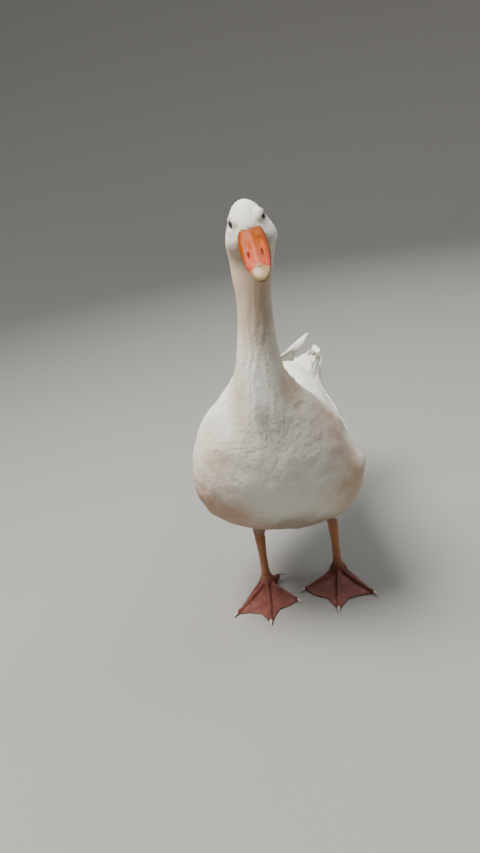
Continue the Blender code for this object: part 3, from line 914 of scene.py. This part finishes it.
looseFeathers = [  # place and reach of each patch
    ((0.024, -0.196, 0.328), 0.016),
    ((0.110, -0.117, 0.245), 0.014),
]


coverEdges = {  # shares of the trunk's length or height over which one coat gives way to the next
    "breast": (0.42, 0.36),
    "belly": (0.62, 0.50),
    "wings": 0.60,
    "eyeRoot": 1.30,  # no feather roots, runs or ends nearer to an eye than this many radii of its opening
    "eyeVane": 1.12,
}


def coatCovers(owner, places, lie, lengths):
    head = owner == "head"
    neck = np.isin(owner, ("neck_upper", "neck_middle", "neck_lower"))
    thigh = np.isin(owner, thighs)
    wing = np.isin(owner, wings)
    bare = np.zeros(len(places))
    for step in (0.0, 0.35, 0.7, 1.0):  # no feather starts, runs or ends in an eye's opening
        for sideName in sides:
            share, out = eyeShares(sideName, places + lie * (lengths * step)[:, None])
            nearest = coverEdges["eyeVane" if step else "eyeRoot"]
            bare = np.maximum(bare, (share < nearest) * (out > -0.001) * head)
    bare = np.maximum(bare, (inFace(places)[:, 0] > faceSizes["featherLine"]) & head)
    onBody = (places[:, 1] - trunkLow.y) / bodyLength
    front = smoothly(*coverEdges["breast"], onBody)
    low = smoothly(*coverEdges["belly"], (places[:, 2] - trunkLow.z) / bodyHeight)
    trunk = (owner == "trunk") * 1.0
    loose = np.zeros(len(places))
    for place, reach in looseFeathers:
        loose = np.maximum(loose, np.linalg.norm(places - np.array(place), axis=1) < reach)
    return {
        "coatLoose": loose,
        "coatThigh": thigh * (1 - bareLeg(owner, places)),
        "coatFace": head * (1 - bare),
        "coatNeck": neck * (1 - bare),
        "coatBreast": trunk * (front > 0.5),
        "coatBelly": trunk * (front <= 0.5) * (low > 0.5),
        "coatBack": trunk * (front <= 0.5) * (low <= 0.5),
        "coatWings": wing * (onBody < coverEdges["wings"]),
    }


lengthsByNode = {"head": 0.0056, "neck_upper": 0.0088, "neck_middle": 0.011, "neck_lower": 0.0135,
                 "trunk": 0.0185, "wing_left": 0.022, "wing_right": 0.022, "tail": 0.020,
                 "thigh_left": 0.011, "thigh_right": 0.011}


def featherLengths(mesh, owner, places):  # shorter near the bill and round the eyes
    made = np.array([lengthsByNode[name] for name in owner])
    face = inFace(places)
    made *= 1 - 0.3 * smoothly(-0.01, 0.016, face[:, 0]) * (owner == "head")
    for sideName in sides:
        gap = np.linalg.norm(places - np.array(middle(f"eye_{sideName}")), axis=1)
        made *= 0.36 + 0.64 * smoothly(eyeRadius, eyeRadius * 2.2, gap)
    return averaged(mesh, made, 3)


# bill, eyes and claws
billLooks = {
    "orange": (0.34, 0.062, 0.001),
    "pink": (0.42, 0.055, 0.031),
    "ridge": (0.48, 0.130, 0.066),
    "base": (0.20, 0.042, 0.001),
    "nostril": (0.11, 0.012, 0.003),
    "nail": (0.25, 0.165, 0.075),
    "nailPale": (0.36, 0.28, 0.165),
    "pinkFrom": (0.032, 0.058),  # how far ahead of the eyes one colour gives way to the next
    "baseTo": (0.018, 0.034),
    "ridgeFrom": (0.032, 0.056),
    "ridgeHalf": (0.0006, 0.0050),
    "flankTo": (0.040, 0.058),
    "flankHalf": (0.0085, 0.0135),
}


def creamShare(ahead, side, cloud):  # the nail's pale horn runs up the middle of the bill's end
    reach = ahead - side.math("ABSOLUTE", side) * 0.75 + (cloud - 0.5) * 0.004
    return reach.between(faceSizes["nailRoot"] - 0.0075, faceSizes["nailRoot"] + 0.0005)


def billMaterial():
    looks = billLooks
    material, board = newMaterial("bill")
    place = board.here()
    ahead, side, pit = board.read("ahead"), board.read("side"), board.read("pit")
    cloud = board.noise(place, 90.0, 4.0, 0.6)
    fine = board.noise(place, 900.0, 2.0)
    aside = side.math("ABSOLUTE", side)
    colour = board.mix(ahead.between(*looks["pinkFrom"]), looks["orange"], looks["pink"])
    colour = board.mix((1 - ahead.between(*looks["baseTo"])) * 0.7, colour, looks["base"])
    # painted highlight: a pale line along the top of the bill's ridge, in its far half
    ridge = (1 - aside.between(*looks["ridgeHalf"])) * ahead.between(*looks["ridgeFrom"])
    colour = board.mix(ridge * 0.65, colour, looks["ridge"])
    colour = board.mix(cloud.between(0.40, 0.75) * 0.18, colour, looks["ridge"])
    colour = board.mix((1 - cloud.between(0.40, 0.58)) * 0.45, colour, looks["base"])
    flank = aside.between(*looks["flankHalf"]) * (1 - ahead.between(*looks["flankTo"]))
    colour = board.mix(flank * 0.5, colour, looks["base"])
    colour = board.mix(creamShare(ahead, side, cloud), colour, looks["nail"])
    # painted shade: the nostril's pit is coloured dark red for the shade inside the opening
    colour = board.mix(pit.between(0.15, 0.9) * 0.85, colour, looks["nostril"])
    finishMaterial(board, colour, 0.38 + cloud * 0.18, (fine * 0.6 + cloud, 0.22, 0.0005),
                   Specular_IOR_Level=0.12, Subsurface_Weight=0.03, Subsurface_Scale=0.002)
    return material


def nailMaterial():
    material, board = newMaterial("nail")
    cloud = board.noise(board.here(), 120.0, 3.0)
    pale = creamShare(board.read("ahead"), board.read("side"), cloud)
    colour = board.mix(pale, billLooks["pink"], billLooks["nail"])
    colour = board.mix(cloud.between(0.4, 0.7) * 0.6, colour, billLooks["nailPale"])
    finishMaterial(board, colour, 0.40, (cloud, 0.15, 0.0005), Specular_IOR_Level=0.3,
                   Subsurface_Weight=0.08, Subsurface_Scale=0.002)
    return material


billSizes = {  # metres; heights are those of the relief on the horn
    "voxel": 0.0006,
    "nostrilHalf": (0.0046, 0.0015),  # half its length and half its width
    "nostrilSide": 0.0076,
    "nostrilDepth": 0.0015,
    "nostrilRim": 0.0003,
    "ridgeHalf": 0.0030,
    "ridgeHeight": 0.0011,
    "grooveSide": 0.0072,
    "grooveHalf": 0.0030,
    "grooveDepth": 0.0014,
    "toothSpacing": 0.0011,
    "toothHeight": 0.00018,
    "endForward": 0.0004,
    "nailSwell": 0.00055,
    "nailBack": 0.0026,
}


def buildBillPiece(nodeName, material):
    sizes = billSizes
    mesh = remeshed(solidCopy(nodeName), sizes["voxel"], 5)
    places, normals = placesOf(mesh), normalsOf(mesh)
    face = inFace(places)
    ahead, side = face[:, 0], face[:, 1]
    pit = np.zeros(len(places))
    if nodeName == "bill_upper":
        halfLength, halfWidth = sizes["nostrilHalf"]
        away = (ahead - faceSizes["nostril"]) / halfLength
        toNostril = np.hypot(away, (np.abs(side) - sizes["nostrilSide"]) / halfWidth)
        onTop = smoothly(0.0, 0.5, normals @ np.array(faceUp))
        pit = (1 - smoothly(0.45, 1.1, toNostril)) * onTop
        rim = np.exp(-((toNostril - 1.35) / 0.35) ** 2) * onTop
        ridge = np.exp(-((side / sizes["ridgeHalf"]) ** 2)) * smoothly(0.018, 0.03, ahead) * onTop
        groove = np.exp(-(((np.abs(side) - sizes["grooveSide"]) / sizes["grooveHalf"]) ** 2)) * onTop
        groove *= smoothly(0.026, 0.036, ahead) * (1 - smoothly(0.052, 0.060, ahead))
        edge = smoothly(0.35, -0.2, normals @ np.array(faceUp))
        edge *= np.abs(np.sin(ahead / sizes["toothSpacing"] * math.pi))
        raised = -sizes["nostrilDepth"] * pit + sizes["nostrilRim"] * rim + sizes["ridgeHeight"] * ridge
        raised = raised - sizes["grooveDepth"] * groove - sizes["toothHeight"] * edge
        places = places + normals * raised[:, None]
        front = smoothly(faceSizes["nailRoot"] - 0.0022, faceSizes["nailRoot"] - 0.0006, ahead)
        places = places + np.array(faceAhead) * (sizes["endForward"] * front)[:, None]
    if nodeName == "bill_nail":  # its root runs back under the bill's end, so that no gap shows
        back = 1 - smoothly(faceSizes["nailRoot"] + 0.0002, faceSizes["nailRoot"] + 0.0016, ahead)
        nearRoot = 1 - smoothly(faceSizes["nailRoot"] + 0.001, faceSizes["nailRoot"] + 0.006, ahead)
        places = places + normals * (sizes["nailSwell"] * nearRoot * (1 - back))[:, None]
        places = places - np.array(faceAhead) * (sizes["nailBack"] * back)[:, None]
    setPlaces(mesh, places)
    face = inFace(places)
    for name, values in (("ahead", face[:, 0]), ("side", face[:, 1]), ("pit", pit)):
        setAttribute(mesh, name, values)
    mesh.shade_smooth()
    piece = newPiece(nodeName.replace("_", "") + "Skin", mesh, material)
    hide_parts(nodeName)
    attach(piece, "root")
    "nail" if nodeName == "bill_nail" else "bill"
    return piece


eyeLooks = {"pupil": (0.004, 0.004, 0.005), "iris": (0.040, 0.026, 0.022), "rings": 40, "segments": 56}


def buildEye(sideName):
    material, board = newMaterial("eye_" + sideName)
    colour = board.mix(board.read("rim").between(0.36, 0.46), eyeLooks["pupil"], eyeLooks["iris"])
    finishMaterial(board, colour, 0.06, None, Coat_Weight=1.0, Coat_Roughness=0.03)
    shape = bmesh.new()
    bmesh.ops.create_uvsphere(shape, u_segments=eyeLooks["segments"], v_segments=eyeLooks["rings"],
                              radius=eyeRadius)
    centre, out = Vector(eyeFrame(sideName)[0]), Vector(eyeFrame(sideName)[1])
    turn = out.to_track_quat("Z", "Y").to_matrix().to_4x4()
    shape.transform(Matrix.Translation(centre) @ turn)
    mesh = meshOf(shape, "eyeBall")
    away = unit(placesOf(mesh) - np.array(centre))
    setAttribute(mesh, "rim", np.arccos(np.clip(away @ np.array(out), -1, 1)))
    mesh.shade_smooth()
    piece = newPiece("eyeBall_" + sideName, mesh, material)
    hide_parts(f"eye_{sideName}")
    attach(piece, "root")


clawLooks = {"pale": (0.58, 0.48, 0.39), "dark": (0.34, 0.25, 0.19)}


def buildClaws():
    material, board = newMaterial("claw")
    streak = board.noise(board.here(), 400.0, 3.0)
    colour = board.mix(streak.between(0.35, 0.7), clawLooks["pale"], clawLooks["dark"])
    finishMaterial(board, colour, 0.42, (streak, 0.2, 0.0003))
    for name in sorted(nodes):
        if name.startswith("claw_"):
            mesh = throughModifiers(solidCopy(name), [("SUBSURF", {"levels": 2, "render_levels": 2})])
            mesh.shade_smooth()
            piece = newPiece(name.replace("_", "") + "Horn", mesh, material)
            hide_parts(name)
            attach(piece, "root")


# large feathers of the wings and tail
featherSizes = {
    "across": 4,
    "along": 8,
    "thick": 0.0003,
    "root": 0.55,  # width at the root, and the hollow across the vane, as shares of its full width
    "hollow": 0.07,
    "least": 0.03,
}
leafSizes = {"columns": 12, "fewest": 5, "upward": 0.55, "margin": 0.03, "marginUp": 0.06}


class Leaf:  # one face of a wing as a chart: 0 to 1 along, then 0 to 1 up
    def __init__(self, nodeName, side, facing):
        mesh = solidCopy(nodeName)
        places, normals = placesOf(mesh), normalsOf(mesh)
        outward = normals @ np.array((side * facing, 0.0, leafSizes["upward"] * facing))
        stations = np.round(places[:, 1], 4)
        rows, self.along = [], []
        for station in np.unique(stations):
            ring = places[(stations == station) & (outward > 0)]
            if len(ring) < leafSizes["fewest"]:
                continue
            ring = ring[np.argsort(ring[:, 2])]
            reach = np.append(0, np.cumsum(np.linalg.norm(np.diff(ring, axis=0), axis=1)))
            shares, reach = np.linspace(0, 1, leafSizes["columns"] + 1), reach / reach[-1]
            rows.append(np.stack([np.interp(shares, reach, ring[:, k]) for k in range(3)], axis=1))
            self.along.append(station)
        self.rows = np.array(rows)
        self.along = np.array(self.along)
        self.start, self.length = self.along[0], self.along[-1] - self.along[0]
        self.facing = side * facing

    def place(self, along, up):
        y = self.start + self.length * along
        up = min(max(up, 0.0), 1.0) * leafSizes["columns"]
        k = min(int(up), leafSizes["columns"] - 1)
        line = self.rows[:, k] * (k + 1 - up) + self.rows[:, k + 1] * (up - k)
        found = Vector([np.interp(y, self.along, line[:, i]) for i in range(3)])
        if along > 1:
            found += Vector(line[-1] - line[-2]).normalized() * (along - 1) * self.length
        return found

    def out(self, along, up):
        step, stepUp = leafSizes["margin"], leafSizes["marginUp"]
        along, up = min(max(along, step), 1 - step), min(max(up, stepUp), 1 - stepUp)
        back = self.place(along + step, up) - self.place(along - step, up)
        rise = self.place(along, up + stepUp) - self.place(along, up - stepUp)
        return rise.cross(back).normalized() * self.facing


# one stiff feather over a chart, from its root low on the surface to its tip higher up
def layFeather(leaf, start, end, width, low, high, point=0.62, tipUp=0.0, level=0.0, tilt=0.0):
    rows, columns = featherSizes["along"], featherSizes["across"]
    places, coords, middles = [], [], []
    for i in range(rows + 1):
        t = i / rows
        along = start[0] + (end[0] - start[0]) * t
        up = start[1] + (end[1] - start[1]) * t
        rise = low + (high - low) * t
        out = leaf.out(along, up)
        place = leaf.place(along, up) + out * rise + Vector((0, 0, tipUp * t**3))
        turned = out.lerp(Vector((0, -0.25, 1)), level * max(0.0, 2 * t - 1)).normalized()
        middles.append((place, turned))
    for i, (place, out) in enumerate(middles):
        t = i / rows
        ahead = (middles[min(i + 1, rows)][0] - middles[max(i - 1, 0)][0]).normalized()
        across = ahead.cross(out).normalized()
        half = width / 2 * max(featherSizes["least"], vaneWidth(t * 0.985, point, featherSizes["root"]))
        for k in range(columns + 1):
            s = k / columns * 2 - 1
            lift = s * tilt - s * s * width * featherSizes["hollow"]
            places.append(place + across * (s * half) + out * lift)
            coords.append((s / 2, t))
    return places, coords


class FeatherSet:  # gathers large feathers into one piece
    def __init__(self, skinTree, skinUvs):
        self.places = []
        self.coords = []
        self.shades = []
        self.patches = []
        self.faces = []
        self.skinTree = skinTree
        self.skinUvs = skinUvs

    def add(self, feather, shade):
        places, coords = feather
        columns = featherSizes["across"] + 1
        start = len(self.places)
        patch = self.skinUvs[self.skinTree.find_nearest(places[columns])[2]]
        for i in range(featherSizes["along"]):
            for k in range(columns - 1):
                a = start + i * columns + k
                self.faces.append((a, a + columns, a + columns + 1, a + 1))
        self.places += places
        self.coords += coords
        self.shades += [shade] * len(places)
        self.patches += [(patch[0] + uvPatch * c[0], patch[1] + uvPatch * (c[1] - 0.5)) for c in coords]

    def build(self, name, material):
        mesh = meshFrom(name, self.places, self.faces)
        uv = mesh.uv_layers.new(name="OFBake")
        for loop in mesh.loops:
            uv.data[loop.index].uv = self.patches[loop.vertex_index]
        setAttribute(mesh, "across", [c[0] for c in self.coords])
        setAttribute(mesh, "along", [c[1] for c in self.coords])
        setAttribute(mesh, "shade", self.shades)
        thick = {"thickness": featherSizes["thick"], "offset": 0.0}
        mesh = throughModifiers(mesh, [("SOLIDIFY", thick)])
        mesh.shade_smooth()
        piece = newPiece(name, mesh, material)
        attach(piece, "root")
        printTriangles(name, mesh)
        return piece


wingSizes = {
    # how many feathers a row has, where on the wing (along, up) its first and last start, and their
    # length, width, and height at the root and at the tip
    "over": [
        (6, (0.64, 0.10), (0.74, 0.86), 0.115, 0.019, 0.0, 0.0008),
        (12, (0.34, 0.06), (0.62, 0.30), 0.085, 0.022, 0.0, 0.0012),
        (6, (0.48, 0.50), (0.62, 0.92), 0.125, 0.026, 0.0004, 0.0016),
        (13, (0.22, 0.08), (0.58, 0.58), 0.050, 0.021, 0.0006, 0.0018),
        (6, (0.38, 0.60), (0.52, 0.96), 0.085, 0.030, 0.0008, 0.0022),
        (14, (0.14, 0.10), (0.46, 0.70), 0.040, 0.019, 0.0010, 0.0024),
        (14, (0.08, 0.12), (0.36, 0.84), 0.034, 0.018, 0.0012, 0.0028),
        (12, (0.05, 0.40), (0.28, 0.96), 0.032, 0.019, 0.0014, 0.0032),
    ],
    "under": [
        (6, (0.50, 0.15), (0.58, 0.85), 0.150, 0.024, 0.0, 0.0004),
        (6, (0.30, 0.15), (0.36, 0.85), 0.100, 0.030, 0.0004, 0.0008),
    ],
    "end": 0.90,  # how far along the wing the rows may reach
    "endSpread": 0.05,
    "gather": 0.10,  # how much the feathers draw together from root to tip
    "sunk": 0.0004,
    "tipLow": 0.0010,
    "tipHigh": 0.0018,
    "tipPoint": 0.66,
    "tipLevel": 0.9,  # how far the feathers at the very tip turn level
}
wingTips = {  # the long feathers that stand out at the very tips: from, to, width, how far they curl up
    "right": [((0.60, 0.25), (0.955, 0.36), 0.016, 0.000), ((0.60, 0.45), (0.985, 0.44), 0.016, 0.000),
              ((0.62, 0.66), (1.01, 0.52), 0.015, 0.001)],
    "left": [((0.62, 0.26), (0.98, 0.24), 0.019, 0.000), ((0.60, 0.54), (1.0, 0.50), 0.022, 0.003),
             ((0.60, 0.84), (0.965, 0.84), 0.021, 0.002)],
}


def buildWing(sideName, material, skinTree, skinUvs):
    side, sizes = sides[sideName], wingSizes
    feathers = FeatherSet(skinTree, skinUvs)
    rng = np.random.default_rng(21 if side > 0 else 22)
    for facing, rows in ((1, sizes["over"]), (-1, sizes["under"])):
        leaf = Leaf(f"wing_{sideName}", side, facing)
        for count, first, last, long, wide, low, high in rows:
            for i in range(count):
                t = i / (count - 1)
                along, up = (a + (b - a) * t for a, b in zip(first, last))
                length = long * rng.uniform(0.95, 1.05) / leaf.length
                end = sizes["end"] - rng.uniform(0.0, sizes["endSpread"]) * abs(up - 0.5) * 2
                end = min(along + length, end)
                upEnd = up + (0.5 - up) * sizes["gather"] + rng.uniform(-0.02, 0.02)
                width = wide * rng.uniform(0.94, 1.06)
                heights = low - sizes["sunk"], high - sizes["sunk"]
                feather = layFeather(leaf, (along, up), (end, upEnd), width, *heights)
                feathers.add(feather, rng.uniform(0, 1))
        for start, end, width, tipUp in wingTips[sideName] if facing > 0 else []:
            low, high, point, level = (sizes[k] for k in ("tipLow", "tipHigh", "tipPoint", "tipLevel"))
            feather = layFeather(leaf, start, end, width, low, high, point, tipUp, level)
            feathers.add(feather, rng.uniform(0, 1))
    piece = feathers.build(f"wingFeathers_{sideName}", material)
    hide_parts(f"wing_{sideName}")


tailSizes = {
    "count": 13,
    "width": 0.021,
    "tilt": 0.0009,
    "start": 0.10,  # where along the tail the feathers root, and how wide the fan is there and at its end
    "rootSpread": 0.42,
    "tipSpread": 0.80,
    "rounding": 0.07,
    "lift": 0.0003,
    "middleLift": 0.0017,
    "rise": 0.0006,
}


class Fan:  # the tail's upper or lower face, by shares across and along
    def __init__(self, upward):
        self.tree = treeOf(solidCopy("tail"))
        self.low, self.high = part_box("tail")
        self.upward = upward

    def place(self, along, across):
        x = middle("tail").x + (self.high.x - self.low.x) / 2 * across
        y = self.low.y + (self.high.y - self.low.y) * along
        start = Vector((x, y, self.high.z + 0.05) if self.upward > 0 else (x, y, self.low.z - 0.05))
        hit = self.tree.ray_cast(start, Vector((0, 0, -self.upward)), 0.2)
        if hit[0]:
            return hit[0]
        near = self.tree.find_nearest(Vector((x, y, middle("tail").z)))[0]
        return Vector((x, y, near.z))

    def out(self, along, across):
        return Vector((0, 0, self.upward))


def buildTail(material, skinTree, skinUvs):
    feathers = FeatherSet(skinTree, skinUvs)
    rng = np.random.default_rng(31)
    sizes = tailSizes
    for upward in (1, -1):
        fan = Fan(upward)
        for i in range(sizes["count"]):
            t = i / (sizes["count"] - 1) * 2 - 1
            t = t if i % 2 else -t
            lift = sizes["lift"] + sizes["middleLift"] * (1 - abs(t)) + rng.uniform(0, 0.0003)
            start = (sizes["start"], t * sizes["rootSpread"])
            end = (1.0 - sizes["rounding"] * t * t, t * sizes["tipSpread"])
            tilt = math.copysign(sizes["tilt"], t * upward)
            feather = layFeather(fan, start, end, sizes["width"], lift - sizes["rise"], lift, tilt=tilt)
            feathers.add(feather, rng.uniform(0, 1))
    piece = feathers.build("tailFeathers", material)
    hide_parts("tail")


# stage, lights and camera
stageLooks = {
    "floor": (0.25, 0.245, 0.233),
    "world": (0.62, 0.66, 0.70),
    "worldStrength": 0.34,
    "flat": 2.6,  # the floor's radius, the bend up into its wall, the wall's height and how finely it turns
    "bend": 1.2,
    "wall": 3.4,
    "turns": 96,
    "lamps": [  # place, size, watts, colour; each looks at the breast
        {"place": (-0.7, -0.5, 2.4), "size": 1.2, "watts": 150, "colour": (1.0, 0.97, 0.925)},
        {"place": (1.3, 0.5, 1.9), "size": 1.2, "watts": 22, "colour": (0.95, 0.97, 1.0)},
        {"place": (0.2, 1.7, 1.6), "size": 1.4, "watts": 14, "colour": (1.0, 0.98, 0.96)},
        {"place": (-0.6, -1.6, 0.35), "size": 0.8, "watts": 1.5, "colour": (1.0, 0.80, 0.66)},
    ],
}
cameraSizes = {
    "place": (0.1475, -0.9268, 0.635),
    "turn": 12.87,
    "down": 22.5,
    "roll": 10.2,
    "lens": 29.54,
}


def buildStage():
    material, board = newMaterial("floor")
    cloud = board.noise(board.here(), 3.0, 2.0)
    tone = stageLooks["floor"]
    colour = board.mix(cloud * 0.12, tone, tuple(c * 0.9 for c in tone))
    finishMaterial(board, colour, 0.85)
    flat, bend, wall, turns = (stageLooks[k] for k in ("flat", "bend", "wall", "turns"))
    outline = [(0.02, 0.0), (1.2, 0.0), (flat, 0.0)]  # distance and height of a round bowl's section
    for a in np.linspace(0.15, math.pi / 2, 11):
        outline.append((flat + bend * math.sin(a), bend - bend * math.cos(a)))
    outline.append((flat + bend, wall))
    places = [(r * math.cos(a), r * math.sin(a), z) for r, z in outline
              for a in (2 * math.pi * k / turns for k in range(turns))]
    faces = [tuple(range(turns))]
    for i in range(len(outline) - 1):
        for k in range(turns):
            a, b = i * turns + k, i * turns + (k + 1) % turns
            faces.append((a, a + turns, b + turns, b))
    mesh = meshFrom("floor", places, faces)
    mesh.shade_smooth()
    floor = newPiece("floor", mesh, material)
    world = bpy.data.worlds.new("studio")
    world.use_nodes = True
    background = world.node_tree.nodes["Background"]
    background.inputs["Color"].default_value = (*stageLooks["world"], 1)
    background.inputs["Strength"].default_value = stageLooks["worldStrength"]
    bpy.context.scene.world = world
    aim = inTrunk(0.2, 0.5)
    for i, lamp in enumerate(stageLooks["lamps"]):
        light = bpy.data.lights.new(f"softbox{i}", "AREA")
        light.energy = lamp["watts"]
        light.size = lamp["size"]
        light.color = lamp["colour"]
        box = bpy.data.objects.new(f"softbox{i}", light)
        box.location = lamp["place"]
        box.rotation_euler = (aim - box.location).to_track_quat("-Z", "Y").to_euler()
        bpy.context.scene.collection.objects.link(box)


def buildCamera():
    data = bpy.data.cameras.new("camera")
    data.lens = cameraSizes["lens"]
    data.clip_start = 0.02
    camera = bpy.data.objects.new("camera", data)
    bpy.context.scene.collection.objects.link(camera)
    turn, tip, roll = (math.radians(cameraSizes[k]) for k in ("turn", "down", "roll"))
    look = Matrix.Rotation(turn, 4, "Z") @ Matrix.Rotation(math.pi / 2 - tip, 4, "X")
    look = look @ Matrix.Rotation(-roll, 4, "Z")
    camera.matrix_world = Matrix.Translation(Vector(cameraSizes["place"])) @ look
    bpy.context.scene.camera = camera


# everything together
buildStage()
buildCamera()
print("stage and camera are set")

bodyMesh, owner, skinPlaces, lie = buildSkin()
lengths = featherLengths(bodyMesh, owner, skinPlaces)
setAttribute(bodyMesh, "featherLength", lengths)
bodyMesh.shade_smooth()
skin = newPiece("skin", bodyMesh, skinMaterial(), legMaterial())
bare = bareLeg(owner, skinPlaces)
for face in bodyMesh.polygons:
    face.material_index = int(all(bare[i] for i in face.vertices))
unwrap(skin)
print("skin has", len(bodyMesh.polygons), "faces")

plumage = plumageMaterial()
tree = buildScatterTree()
vanes = {name: buildVane(name) for name in vaneShapes}
covers = coatCovers(owner, skinPlaces, lie, lengths)
for name, plan in coatPlans.items():
    values = {**plan, "Vane": vanes[plan["Vane"]], "Finish": plumage}
    coat = scatterCoat(name, skin, covers[name], tree, values)
    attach(coat, "root")
print("small feathers are laid")

skinTree = treeOf(bodyMesh)
uvLayer = bodyMesh.uv_layers["OFBake"].data
skinUvs = [tuple(uvLayer[p.loop_indices[0]].uv) for p in bodyMesh.polygons]
for sideName in sides:
    buildWing(sideName, plumage, skinTree, skinUvs)
buildTail(plumage, skinTree, skinUvs)
for vane in vanes.values():
    bpy.data.objects.remove(vane)
print("wings and tail are feathered")

legMesh = buildLegSkin()
legMesh.materials.clear()
legs = newPiece("legs", legMesh, skin.data.materials[0], skin.data.materials[1])
for face in legs.data.polygons:
    face.material_index = 1
    face.use_smooth = True
selectOnly(skin, legs)
bpy.ops.object.join()
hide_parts(*[n for n in fleshNodes if n not in (*wings, "tail")],
            "shank_left", "shank_right", "foot_left", "foot_right")
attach(skin, "root")
print("skin and legs are one")

bill = billMaterial()
for nodeName, material in (("bill_upper", bill), ("bill_lower", bill), ("bill_nail", nailMaterial())):
    buildBillPiece(nodeName, material)
for sideName in sides:
    buildEye(sideName)
buildClaws()
print("bill, eyes and claws are set")
